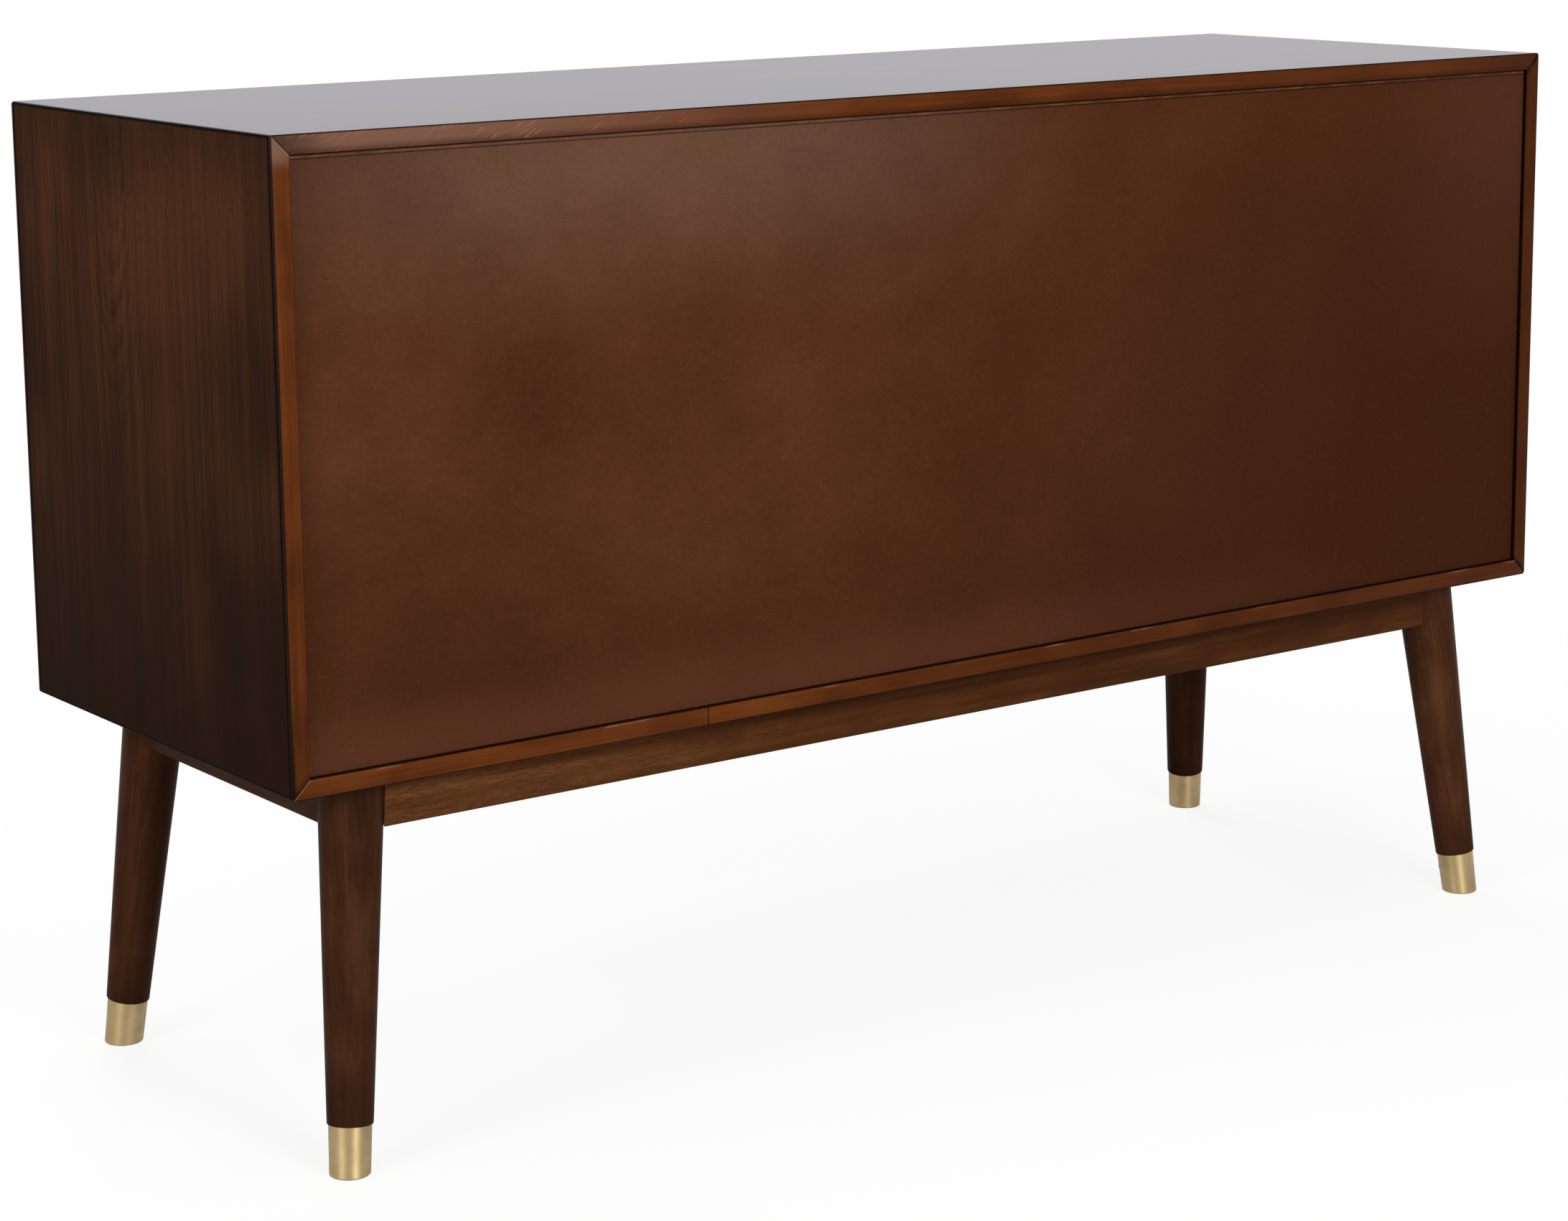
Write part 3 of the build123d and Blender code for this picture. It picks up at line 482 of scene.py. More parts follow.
def strip_marks(rails):
    """Lines at the edges, mitres and butt joint of the back strips, painted shadow along their inner edges,
    and a scratched upper strip under a painted sheen, with painted shade on its lower half.
    """
    def paint(tree, space, stain, clouds):
        tint = colours()
        across, _, height = axes(tree)
        reach = case_high.x * MM_PER_METRE
        top = case_high.z * MM_PER_METRE
        bottom = case_low.z * MM_PER_METRE
        width = panel * MM_PER_METRE
        room = border_room(tree, case_low, case_high)
        outer = add(tree, "ShaderNodeMath", {0: room[0], 1: room[2]}, operation="MINIMUM")
        apart = add(tree, "ShaderNodeMath", {0: room[0], 1: room[2]}, operation="SUBTRACT")
        mitre = add(tree, "ShaderNodeMath", {0: apart}, operation="ABSOLUTE")
        wear = grain_noise(tree, space, 10.0, 50.0)
        sheen_depth = 4.0 if rails else 1.8
        upper = (height, top - sheen_depth * width, top - 0.9 * width)
        lower = (*upper, 1.0, 0.0)
        # A painted sheen over the upper strip and the stiles' upper ends
        layers = [(tint.strip_painted_sheen, upper, (across, 0.1 * reach, 0.92 * reach, 0.0, 0.95))]
        if rails:
            strokes = grain_noise(tree, grain_space(tree, (0.0, math.radians(62.0), 0.0)), 0.6, 20.0, 1.0)
            span = (across, 0.3 * reach, 0.66 * reach)
            scratched = (span, (wear, 0.42, 0.6), (strokes, 0.58, 0.7, 0.0, 0.6))
            rubbed = ((outer, width - 2.2, width - 1.4), (wear, 0.54, 0.66, 0.0, 0.35))
            inputs = {0: across, 1: sizes().butt_joint * MM_PER_METRE}
            joint = add(tree, "ShaderNodeMath", inputs, operation="SUBTRACT")
            seam = add(tree, "ShaderNodeMath", {0: joint}, operation="ABSOLUTE")
            layers += [
                # Painted shade on the lower half of the upper strip, where its eased edge turns down from the
                # light
                (tint.strip_deep, upper, (outer, 0.55 * width, width, 0.0, 0.6)),
                (tint.strip_deep, upper, (across, 0.0, 0.5 * reach, 0.2, 0.0)),
                (tint.strip_deep, upper, (across, -0.9 * reach, -0.6 * reach, 0.25, 0.0)),
                (tint.strip_deep, lower, (across, 0.12 * reach, 0.26 * reach, 0.42, 0.05)),
                (tint.veneer_deep, upper, (across, 0.9 * reach, reach, 0.0, 0.7)),
                (tint.strip_scratch, upper, *scratched),
                (tint.strip_scratch, lower, *rubbed),
                (tint.strip_scratch, lower, (mitre, 0.3, 1.2, 0.5, 0.0)),
                (tint.veneer_edge, upper, (mitre, 0.5, 1.3, 0.8, 0.0)),
                (tint.veneer_edge, lower, (seam, 0.3, 0.9, 0.7, 0.0)),
            ]
        else:
            gathered = sum_of(tree, (mitre, 1.0), (wear, 8.0))
            hazy_end = (across, 0.8 * reach, 0.9 * reach)
            plain_end = (*hazy_end, 1.0, 0.0)
            foot = (height, bottom + 15.0, bottom + 90.0, 1.0, 0.0)
            layers += [
                (tint.strip_deep, (across, -0.5 * reach, 0.5 * reach, 0.62, 0.0)),
                (tint.veneer_deep, (gathered, 3.0, 13.0, 0.9, 0.0), lower),
                (tint.veneer_edge, (gathered, 3.0, 12.0, 0.9, 0.0), plain_end),
                (tint.strip_scratch, upper, hazy_end, (mitre, 0.4, 1.3, 0.8, 0.0)),
                # Painted shadow at the foot of one stile, near its outer edges
                (tint.veneer_edge, foot, hazy_end, (outer, 1.0, 5.0, 0.85, 0.0)),
            ]
        # A dark line along the outer edges, and painted shadow along the inner edges and on the walls of the
        # recess round the back board
        layers += [
            (tint.veneer_edge, (outer, 0.4, 1.5, 0.9, 0.0)),
            (tint.veneer_edge, (outer, width - 0.6, width - 0.2, 0.0, 0.9)),
        ]
        return lay_over(tree, stain, *layers)
    return paint


def apron_marks(tree, space, stain, clouds):
    """Golden flecks where the stain is thin near one end, heavy dark stain in bands, and painted shade under
    the case.
    """
    tint = colours()
    low, high = (corner * MM_PER_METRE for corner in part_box("back_apron"))
    across, _, height = axes(tree)
    flecks = grain_noise(tree, space, 0.9, 9.0, 2.0, 0.6)
    bands = grain_noise(tree, space, 11.0, 320.0, 3.0)
    ragged = sum_of(tree, (across, 1.0), (clouds, 150.0))
    shaded = sum_of(tree, (height, 1.0), (clouds, 12.0))
    thin = (ragged, 0.35 * high.x, 1.1 * high.x, 0.1, 1.0)
    bare = (bands, 0.34, 0.56, 1.0, 0.4)
    # The last layer is painted shade under the case
    return lay_over(tree, stain,
                    (tint.apron_deep, (bands, 0.5, 0.66, 0.0, 0.6)),
                    (tint.apron_gold, thin, bare, (flecks, 0.34, 0.66, 0.25, 1.0)),
                    (tint.apron_deep, (shaded, low.z + 26.0, high.z + 8.0, 0.0, 0.75)))


def leg_marks(tree, space, stain, clouds):
    """Stain that soaked darker into the foot of a leg, above its ferrule."""
    height = sum_of(tree, (axes(tree)[2], 1.0), (clouds, 40.0))
    return lay_over(tree, stain, (colours().leg_deep, (height, 55.0, 130.0, 0.5, 0.0)))


def tones_of(kind):
    """The deep, body and light colours of one wood."""
    return [getattr(colours(), f"{kind}_{part}") for part in ("deep", "body", "light")]


def painted_hardboard(name):
    """Hardboard sprayed with thin brown paint: darker clouds where the coat is heavy, pressed fibres showing.
    """
    material, tree = new_tree(name)
    tint = colours()
    space = grain_space(tree, UPRIGHT)
    across, _, height = axes(tree)
    wide = grain_noise(tree, space, 340.0, 260.0, 2.0)
    middle = grain_noise(tree, space, 80.0, 60.0, 3.0, 0.6)
    small = grain_noise(tree, space, 7.0, 4.0, 5.0, 0.75)
    tone = sum_of(tree, (wide, 0.47), (middle, 0.21), (small, 0.32))
    stops = ((0.25, tint.back_shade), (0.5, tint.back_body), (0.75, tint.back_glow))
    paint = add(tree, "ShaderNodeValToRGB", {"Fac": tone}, stops=stops)

    # Painted shade of the light's falloff darkens the board towards one end and the foot; the coat is also
    # redder towards that end, darker towards the foot, in a patch and at both ends, and paler at one upper
    # corner, with a painted sheen near the upper edge and painted light along the foot
    warm = sum_of(tree, (across, 1.0), (wide, 500.0))
    foot = sum_of(tree, (height, 1.0), (across, -0.35), (middle, 150.0))
    painted_falloff = sum_of(tree, (across, 1.0), (height, 1.0), (wide, 400.0))
    distance = distance_from(tree, space, (-190.0, 0.0, 560.0), BACK_PLANE)
    patch = sum_of(tree, (distance, 1.0), (middle, 120.0))
    room = border_room(tree, *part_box("back_panel"))
    margin = sum_of(tree, (room[0], 1.0), (middle, 60.0))
    upper = sum_of(tree, (height, 1.0), (middle, 60.0))
    span = ((across, -150.0, 200.0), (across, 440.0, 700.0, 1.0, 0.3))
    layers = [
        (tint.back_warm, (warm, -500.0, 550.0, 0.8, 0.0)),
        (tint.back_shade, (foot, 250.0, 520.0, 0.47, 0.0)),
        # Painted shade of the light's falloff towards one end and the foot
        (tint.back_shade, (painted_falloff, 50.0, 900.0, 0.8, 0.0)),
        (tint.back_shade, (patch, 100.0, 380.0, 0.28, 0.0)),
        (tint.back_shade, (margin, 30.0, 90.0, 0.35, 0.0)),
        # Painted sheen near the upper edge
        (tint.back_painted_sheen, (upper, 640.0, 820.0, 0.0, 0.15), *span),
        # Painted light along the foot of the board
        (tint.back_glow, (height, 330.0, 385.0, 0.36, 0.0), (across, -560.0, 150.0)),
        (tint.back_glow, (height, 450.0, 800.0, 0.0, 0.42), (across, -660.0, -380.0, 1.0, 0.0)),
    ]

    # Fibres lie every way in the board, so three sets of short strokes cross each other
    for turn in (0.4, 1.5, 2.6):
        strokes = grain_noise(tree, grain_space(tree, (0.0, turn, 0.0)), 0.8, 7.0, 1.0)
        layers.append((tint.back_fibre, (strokes, 0.67, 0.78, 0.0, 0.3)))
    specks = grain_noise(tree, space, 1.6, 1.6, 1.0)

    # Painted shadow darkens the seam round the board, and the upper edge shows bare fibre beside it
    inset = Vector((panel, 0.0, panel))
    seam = border_room(tree, case_low + inset, case_high - inset)
    inner_top = (case_high.z - panel) * MM_PER_METRE
    wear = grain_noise(tree, space, 26.0, 26.0, 3.0, 0.6)
    below = sum_of(tree, (height, -1.0), (inner_top, 1.0))
    ridge = ((below, 1.4, 1.8), (below, 2.6, 3.0, 1.0, 0.0))
    layers += [
        (tint.back_shade, (specks, 0.62, 0.76, 0.0, 0.35)),
        # Painted shadow in the seam round the board
        (tint.veneer_edge, (seam[0], 0.2, 0.9, 0.7, 0.0)),
        (tint.veneer_edge, (seam[2], 0.5, 1.5, 0.9, 0.0)),
        (tint.back_raw, *ridge, (wear, 0.45, 0.65, 0.1, 0.85)),
        (tint.veneer_edge, (below, 3.2, 3.5), (below, 4.0, 4.4, 0.7, 0.0)),
    ]
    paint = lay_over(tree, paint, *layers)

    relief = sum_of(tree, (small, 0.7), (middle, 0.5))
    normal = add(tree, "ShaderNodeBump", {"Height": relief, "Strength": 0.10, "Distance": 0.5 * MM})
    rough = soft_mask(tree, (middle, 0.3, 0.7, 0.42, 0.54))
    surface(tree, {"Base Color": paint, "Roughness": rough, "Normal": normal, "IOR": 1.08})
    return material


def satin_metal(name, bright, dull, turn, lines, roughness, axis=None):
    """Satin metal under thin lacquer: tool lines, faint tarnish, and long glints across turned lines."""
    material, tree = new_tree(name)
    space = grain_space(tree, turn)
    clouds = grain_noise(tree, space, 14.0, 20.0, 2.0, 0.5)
    # Real tool lines are about 0.1 mm apart, and are drawn wider so that they show
    tool = grain_noise(tree, space, 60.0, lines, 2.0)
    aged = sum_of(tree, (clouds, 0.85), (tool, 0.15))
    stops = ((0.4, bright), (0.7, dull))
    metal = add(tree, "ShaderNodeValToRGB", {"Fac": aged}, stops=stops)
    normal = add(tree, "ShaderNodeBump", {"Height": tool, "Strength": 0.02, "Distance": 0.2 * MM})
    rough = soft_mask(tree, (clouds, 0.3, 0.7, roughness - 0.03, roughness + 0.04))
    inputs = {"Base Color": metal, "Metallic": 1.0, "Normal": normal, "Roughness": rough}
    if axis is not None:
        inputs["Tangent"] = add(tree, "ShaderNodeTangent", direction_type="RADIAL", axis=axis)
        inputs["Anisotropic"] = 0.7
        inputs["Anisotropic Rotation"] = 0.25
    surface(tree, inputs)
    return material


def moulded_plastic(name):
    """Brown plastic from a spark-eroded mould: one colour with a fine, even grain."""
    material, tree = new_tree(name)
    tint = colours()
    grain = grain_noise(tree, grain_space(tree, UPRIGHT), 0.6, 0.6, 2.0)
    stops = ((0.35, tint.catch), (0.7, tint.catch_pale))
    skin = add(tree, "ShaderNodeValToRGB", {"Fac": grain}, stops=stops)
    normal = add(tree, "ShaderNodeBump", {"Height": grain, "Strength": 0.15, "Distance": 0.1 * MM})
    rough = soft_mask(tree, (grain, 0.3, 0.7, 0.42, 0.52))
    surface(tree, {"Base Color": skin, "Roughness": rough, "Normal": normal})
    return material


def finish_piece(name, shape, materials, body, replaced=()):
    """Turns a bmesh into a piece that rides on a CAD body."""
    mesh = bpy.data.meshes.new(name)
    bmesh.ops.recalc_face_normals(shape, faces=shape.faces)
    shape.to_mesh(mesh)
    shape.free()
    mesh.shade_smooth()
    mesh.set_sharp_from_angle(angle=SHARP_ANGLE)
    for material in materials:
        mesh.materials.append(material)
    piece = bpy.data.objects.new(name, mesh)
    bpy.context.scene.collection.objects.link(piece)
    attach(piece, body)
    if replaced:
        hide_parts(*replaced)


def draw_out(shape, faces, step):
    """Draws faces out into a solid."""
    grown = bmesh.ops.extrude_face_region(shape, geom=faces)["geom"]
    moved = [part for part in grown if isinstance(part, bmesh.types.BMVert)]
    bmesh.ops.translate(shape, verts=moved, vec=step)


def round_edges(shape, edges, radius, segments):
    """Rounds edges evenly."""
    bmesh.ops.bevel(shape, geom=edges, offset=radius, offset_type="OFFSET", segments=segments, profile=0.5,
                    affect="EDGES", material=-1)


def case_corner(bearing):
    """Centre of the rounded outer corner on this bearing, and the inner corner behind it."""
    signs = (math.copysign(1.0, math.cos(bearing)), math.copysign(1.0, math.sin(bearing)))
    middle = (case_low + case_high) / 2
    half = (case_high - case_low) / 2
    radius = sizes().corner_radius
    centre = Vector((middle.x + signs[0] * (half.x - radius), middle.z + signs[1] * (half.z - radius)))
    inner = Vector((middle.x + signs[0] * (half.x - panel), middle.z + signs[1] * (half.z - panel)))
    return centre, inner


def strip_outline(facing):
    """Outline of the mitred strip that faces one way, split into its first and its second half."""
    halves = []
    for side in (-1, 1):
        mitre = facing + side * math.pi / 4
        centre, inner = case_corner(mitre)
        turns = [mitre, facing + side * math.pi / 8, facing]
        arc = [centre + sizes().corner_radius * Vector((math.cos(turn), math.sin(turn))) for turn in turns]
        halves.append([inner, *arc])
    return halves[0], list(reversed(halves[1]))


def lay_strip(shape, outline, face, depth):
    """A strip with this outline in X and Z, whose shown side lies at face."""
    shown = shape.faces.new([shape.verts.new((x, face, z)) for x, z in outline])
    draw_out(shape, [shown], (0.0, depth, 0.0))


def ease_strips(shape, face):
    """Rounds the edges of the shown side, so that joints read as fine grooves."""
    near = 0.01 * MM
    edges = [edge for edge in shape.edges if all(abs(vert.co.y - face) < near for vert in edge.verts)]
    round_edges(shape, edges, sizes().strip_ease, segments=3)


def screw_head():
    """Mesh of a slotted head facing up: a sunk floor, and two halves just proud, beside the slot."""
    radius = sizes().screw_head / 2
    half_slot = sizes().screw_slot / 2
    proud, floor, sunk = 0.05 * MM, 0.01 * MM, 0.3 * MM
    head = bmesh.new()
    for side in (-1, 1):
        disc = bmesh.ops.create_circle(head, cap_ends=True, segments=HEAD_SIDES, radius=radius,
                                       matrix=Matrix.Translation((0.0, 0.0, proud)))["verts"]
        edges = dict.fromkeys(edge for vert in disc for edge in vert.link_edges)
        faces = dict.fromkeys(face for vert in disc for face in vert.link_faces)
        bmesh.ops.bisect_plane(head, geom=[*disc, *edges, *faces], plane_co=(0.0, side * half_slot, 0.0),
                               plane_no=(0.0, side, 0.0), clear_inner=True)
    draw_out(head, head.faces[:], (0.0, 0.0, -sunk))
    middle = Matrix.Translation((0.0, 0.0, (floor - sunk) / 2))
    sunk_floor = bmesh.ops.create_cone(head, cap_ends=True, segments=HEAD_SIDES, radius1=radius,
                                       radius2=radius, depth=floor + sunk, matrix=middle)["verts"]
    # The sunk floor takes the second material: grime and painted shade in the slot
    for vert in sunk_floor:
        for face in vert.link_faces:
            face.material_index = 1
    mesh = bpy.data.meshes.new("screw_head")
    head.to_mesh(mesh)
    head.free()
    return mesh


def set_screws(head, places):
    """Copies of a head at these points, each facing its own way with its slot at another angle."""
    shape = bmesh.new()
    for index, (point, facing) in enumerate(places):
        first = len(shape.verts)
        shape.from_mesh(head)
        shape.verts.ensure_lookup_table()
        turn = facing.to_track_quat("Z", "Y").to_matrix().to_4x4()
        matrix = Matrix.Translation(point) @ turn @ Matrix.Rotation(SLOT_TURN * index, 4, "Z")
        bmesh.ops.transform(shape, matrix=matrix, verts=shape.verts[first:])
    return shape


class SIDEBOARD_OT_case(bpy.types.Operator):
    """Finish the case's panels, dividers and shelves in walnut veneer"""
    bl_idname = "sideboard.case"
    bl_label = "Case panels"

    def execute(self, context):
        tones = tones_of("veneer")
        for side, sign, back in (("right", 1, -30.0), ("left", -1, 10.0)):
            # The pith lies behind the face and leans towards it, so that its rings show as tall arches
            face = sign * side_high.x * MM_PER_METRE
            pith = (face - sign * 85.0, back, 640.0)
            lean = (0.0, sign * math.radians(4.6), 0.0)
            name = f"walnut_veneer_lacquered_{side}_side"
            dress([f"{side}_side_panel"], wood(name, tones, UPRIGHT, pith, lean, VENEER, side_marks))
        lean = (0.0, math.radians(3.0), 0.0)
        for name, turn, pith, figure, marks, *nodes in (
                ("polished_top", LENGTHWISE, (-740.0, 40.0, 100.0), POLISHED_VENEER, top_marks, "top_panel"),
                ("bottom", LENGTHWISE, (-390.0, -20.0, -150.0), VENEER, bottom_marks, "bottom_panel"),
                ("shelves", LENGTHWISE, (-480.0, 60.0, 0.0), VENEER, None, "left_shelf", "right_shelf"),
                ("dividers", UPRIGHT, (0.0, 30.0, 500.0), VENEER, None, "left_divider", "right_divider")):
            dress(nodes, wood(f"walnut_veneer_{name}", tones, turn, pith, lean, figure, marks))
        return {"FINISHED"}


class SIDEBOARD_OT_back(bpy.types.Operator):
    """Finish the recessed back board"""
    bl_idname = "sideboard.back"
    bl_label = "Back board"

    def execute(self, context):
        dress(["back_panel"], painted_hardboard("hardboard_sprayed_red_brown"))
        return {"FINISHED"}


class SIDEBOARD_OT_strips(bpy.types.Operator):
    """Lay the mitred edge strips round the back and the front of the case"""
    bl_idname = "sideboard.strips"
    bl_label = "Edge strips"

    def execute(self, context):
        self.lay("back", "back_edge_lipping", "orange_brown_lipping", "beech_strip_stained", "strip")
        self.lay("front", "front_edge_lipping", "walnut_veneer", "walnut_strip", "veneer")
        return {"FINISHED"}

    def lay(self, end, node, slot, finish, kind):
        """Lays the rails and stiles at one end of the case."""
        low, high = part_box(node)
        face, hidden = (high.y, low.y) if end == "back" else (low.y, high.y)
        depth = hidden - face
        rails = bmesh.new()
        first, second = strip_outline(math.pi / 2)
        lay_strip(rails, first + second, face, depth)
        first, second = strip_outline(-math.pi / 2)
        if end == "back":
            cut = [Vector((sizes().butt_joint, point.y)) for point in (first[-1], first[0])]
            lay_strip(rails, first + cut, face, depth)
            lay_strip(rails, cut[::-1] + second, face, depth)
        else:
            lay_strip(rails, first + second, face, depth)
        stiles = bmesh.new()
        for facing in (0.0, math.pi):
            first, second = strip_outline(facing)
            lay_strip(stiles, first + second, face, depth)
        if end == "front":
            bottom, top = case_low.z + panel, case_high.z - panel
            for divider in ("left_divider", "right_divider"):
                left, right = (corner.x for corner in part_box(divider))
                lay_strip(stiles, [(left, bottom), (right, bottom), (right, top), (left, top)], face, depth)
        tilt = (0.01, 0.01, 0.0)
        for part, shape, turn, pith in (("rails", rails, LENGTHWISE, (-900.0, 100.0, 0.0)),
                                        ("stiles", stiles, UPRIGHT, (500.0, 100.0, 0.0))):
            marks = strip_marks(part == "rails") if end == "back" else None
            material = wood(f"{finish}_{part}", tones_of(kind), turn, pith, tilt, EDGE_STRIP, marks)
            ease_strips(shape, face)
            finish_piece(f"{end}_edge_{part}", shape, (material,), "case", (node,))


class SIDEBOARD_OT_base(bpy.types.Operator):
    """Finish the legs, aprons, blocks and rail of the base"""
    bl_idname = "sideboard.base"
    bl_label = "Base"

    def execute(self, context):
        tilt = (0.03, 0.02, 0.0)
        for corner, painted_light in LEG_PAINTED_LIGHT.items():
            # Each leg's tones are scaled by its painted lightness, painted light and shade in place of how
            # the light falls on it
            tones = [[painted_light * part for part in tone[:3]] + [1.0] for tone in tones_of("leg")]
            low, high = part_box(f"{corner}_leg")
            middle = (low + high) / 2 * MM_PER_METRE
            foot = sum(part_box(f"{corner}_ferrule"), Vector()) / 2 * MM_PER_METRE
            drop = middle.z - foot.z
            turn = (-math.atan2(foot.y - middle.y, drop), math.atan2(foot.x - middle.x, drop), 0.0)
            pith = (middle.x + 45.0, middle.y + 30.0, middle.z)
            name = f"beech_stained_{corner}_leg"
            dress([f"{corner}_leg"], wood(name, tones, turn, pith, tilt, STAINED_BEECH, leg_marks))
        for name, kind, turn, pith, figure, marks, *nodes in (
                ("stained_long_aprons", "apron", LENGTHWISE, (-230.0, 150.0, 0.0), STAINED_BEECH, apron_marks,
                 "front_apron", "back_apron"),
                ("stained_end_aprons", "leg", FRONT_TO_BACK, (560.0, 230.0, 0.0), STAINED_BEECH, None,
                 "left_apron", "right_apron"),
                ("planed_blocks", "beech", LENGTHWISE, (-250.0, 120.0, 0.0), PLAIN_BEECH, None,
                 "corner_blocks"),
                ("planed_rail", "beech", FRONT_TO_BACK, (20.0, 250.0, 0.0), PLAIN_BEECH, None,
                 "centre_rail")):
            dress(nodes, wood(f"beech_{name}", tones_of(kind), turn, pith, tilt, figure, marks))
        return {"FINISHED"}


class SIDEBOARD_OT_fronts(bpy.types.Operator):
    """Finish the doors and drawer fronts in one run of lengthwise veneer"""
    bl_idname = "sideboard.fronts"
    bl_label = "Doors and drawer fronts"

    def execute(self, context):
        pith = (-560.0, case_front * MM_PER_METRE + 75.0, 60.0)
        lean = (math.radians(3.0), 0.0, 0.0)
        material = wood("walnut_veneer_fronts", tones_of("veneer"), LENGTHWISE, pith, lean, VENEER)
        dress(["left_door", "right_door", *(f"{drawer}_drawer_front" for drawer in DRAWERS)], material)
        return {"FINISHED"}


class SIDEBOARD_OT_drawers(bpy.types.Operator):
    """Finish the drawer boxes and their runners"""
    bl_idname = "sideboard.drawers"
    bl_label = "Drawer boxes"

    def execute(self, context):
        tones = tones_of("beech")
        pith = (150.0, 300.0, 0.0)
        tilt = (0.02, 0.02, 0.0)
        lengthways = wood("beech_lacquered_front_to_back", tones, FRONT_TO_BACK, pith, tilt, PLAIN_BEECH)
        crossways = wood("beech_lacquered_crosswise", tones, LENGTHWISE, pith, tilt, PLAIN_BEECH)
        birch = wood("birch_plywood_lacquered", tones_of("birch"), LENGTHWISE, pith, tilt, PLAIN_BEECH)
        for drawer in DRAWERS:
            dress([f"{drawer}_drawer_left_side", f"{drawer}_drawer_right_side"], lengthways)
            dress([f"{drawer}_drawer_back"], crossways)
            dress([f"{drawer}_drawer_bottom"], birch)
        dress(["drawer_runners"], lengthways)
        return {"FINISHED"}


class SIDEBOARD_OT_metalwork(bpy.types.Operator):
    """Finish the ferrules, knobs, hinges, catches and fasteners"""
    bl_idname = "sideboard.metalwork"
    bl_label = "Metalwork"

    def execute(self, context):
        tint = colours()
        brass = (tint.brass, tint.brass_tarnish)
        dress([f"{corner}_ferrule" for corner in LEG_PAINTED_LIGHT],
              satin_metal("brass_turned_ferrules", *brass, UPRIGHT, 0.5, 0.45, axis="Z"))
        knobs = satin_metal("brass_turned_knobs", *brass, FRONT_TO_BACK, 0.4, 0.38, axis="Y")
        dress(["left_door_knob", "right_door_knob"], knobs)
        dress([f"{drawer}_drawer_knob" for drawer in DRAWERS], knobs)
        dress(["ferrule_pins", "hinge_case_leaves", "hinge_pins", "left_hinge_door_leaves",
               "right_hinge_door_leaves"], satin_metal("brass_rolled_satin", *brass, UPRIGHT, 0.5, 0.3))
        zinc = satin_metal("steel_zinc_plated", tint.steel, tint.steel_dull, UPRIGHT, 0.6, 0.34)
        dress(["base_screws", "leg_bolts", "left_strike_plate", "right_strike_plate", "shelf_pins"], zinc)
        dress(["magnetic_catches"], moulded_plastic("plastic_moulded_brown"))
        return {"FINISHED"}


class SIDEBOARD_OT_screws(bpy.types.Operator):
    """Set the screws of the hinges, catches and strike plates, and the catches' steel poles"""
    bl_idname = "sideboard.screws"
    bl_label = "Screws and poles"

    def execute(self, context):
        tint = colours()
        brass = satin_metal("brass_turned_screws", tint.brass, tint.brass_tarnish, UPRIGHT, 0.3, 0.32)
        zinc = satin_metal("steel_zinc_plated_screws", tint.steel, tint.steel_dull, UPRIGHT, 0.3, 0.34)
        # Slot floors: grime and painted shade in the slots
        slot_grime_and_shade = satin_metal("brass_slot_tarnished", tint.veneer_deep, tint.veneer_edge, UPRIGHT, 0.3, 0.6)
        head = screw_head()
        leaf = sizes().hinge_leaf
        door_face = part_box("right_door")[1].x + leaf
        case_face = side_low.x - leaf
        catch_low, catch_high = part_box("magnetic_catches")
        catch = (catch_low + catch_high) / 2
        backward, downward = Vector((0.0, 1.0, 0.0)), Vector((0.0, 0.0, -1.0))
        case_hinges, catches = [], []
        poles = bmesh.new()
        for side, sign in (("left", -1), ("right", 1)):
            door = f"{side}_door"
            outward = Vector((sign, 0.0, 0.0))
            rows = self.hinge_rows(*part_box(f"{side}_hinge_door_leaves"))
            door_hinges = [(Vector((sign * door_face, y, z)), outward) for y, z in rows]
            case_hinges += [(Vector((sign * case_face, y, z)), -outward) for y, z in rows]
            low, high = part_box(f"{side}_strike_plate")
            middle = (low + high) / 2
            strike = []
            for end in (-MM, MM):
                place = Vector((middle.x + end * STRIKE_SCREW_STEP, high.y, middle.z))
                strike.append((place, backward))
                place = Vector((middle.x + end * CATCH_SCREW_STEP, catch.y, catch_low.z))
                catches.append((place, downward))
                self.lay_pole(poles, Vector((middle.x, catch_low.y, catch.z + end * POLE_STEP)))
            hinge_screws, strike_screws = set_screws(head, door_hinges), set_screws(head, strike)
            finish_piece(f"{side}_hinge_door_screws", hinge_screws, (brass, slot_grime_and_shade), door)
            finish_piece(f"{side}_strike_screws", strike_screws, (zinc, slot_grime_and_shade), door)
        hinge_screws, catch_screws = set_screws(head, case_hinges), set_screws(head, catches)
        finish_piece("hinge_case_screws", hinge_screws, (brass, slot_grime_and_shade), "case")
        finish_piece("catch_screws", catch_screws, (zinc, slot_grime_and_shade), "case")
        finish_piece("catch_poles", poles, (zinc,), "case")
        bpy.data.meshes.remove(head)
        return {"FINISHED"}

    def hinge_rows(self, low, high):
        """Places of a pair of leaves' screws, along Y and Z."""
        starts = (low.z, high.z - sizes().hinge_height)
        return [(high.y - inset * MM, start + up * MM) for start in starts for up, inset in HINGE_SCREWS]

    def lay_pole(self, shape, face):
        """A steel strip let into the front of a catch, with eased edges and its end just proud."""
        proud, sunk, easing = 0.1 * MM, 2.0 * MM, 0.25 * MM
        middle = face + Vector((0.0, (sunk - proud) / 2, 0.0))
        size = Matrix.Diagonal((sizes().pole_length, sunk + proud, sizes().pole_height, 1.0))
        verts = bmesh.ops.create_cube(shape, size=1.0, matrix=Matrix.Translation(middle) @ size)["verts"]
        edges = dict.fromkeys(edge for vert in verts for edge in vert.link_edges)
        round_edges(shape, list(edges), easing, segments=2)


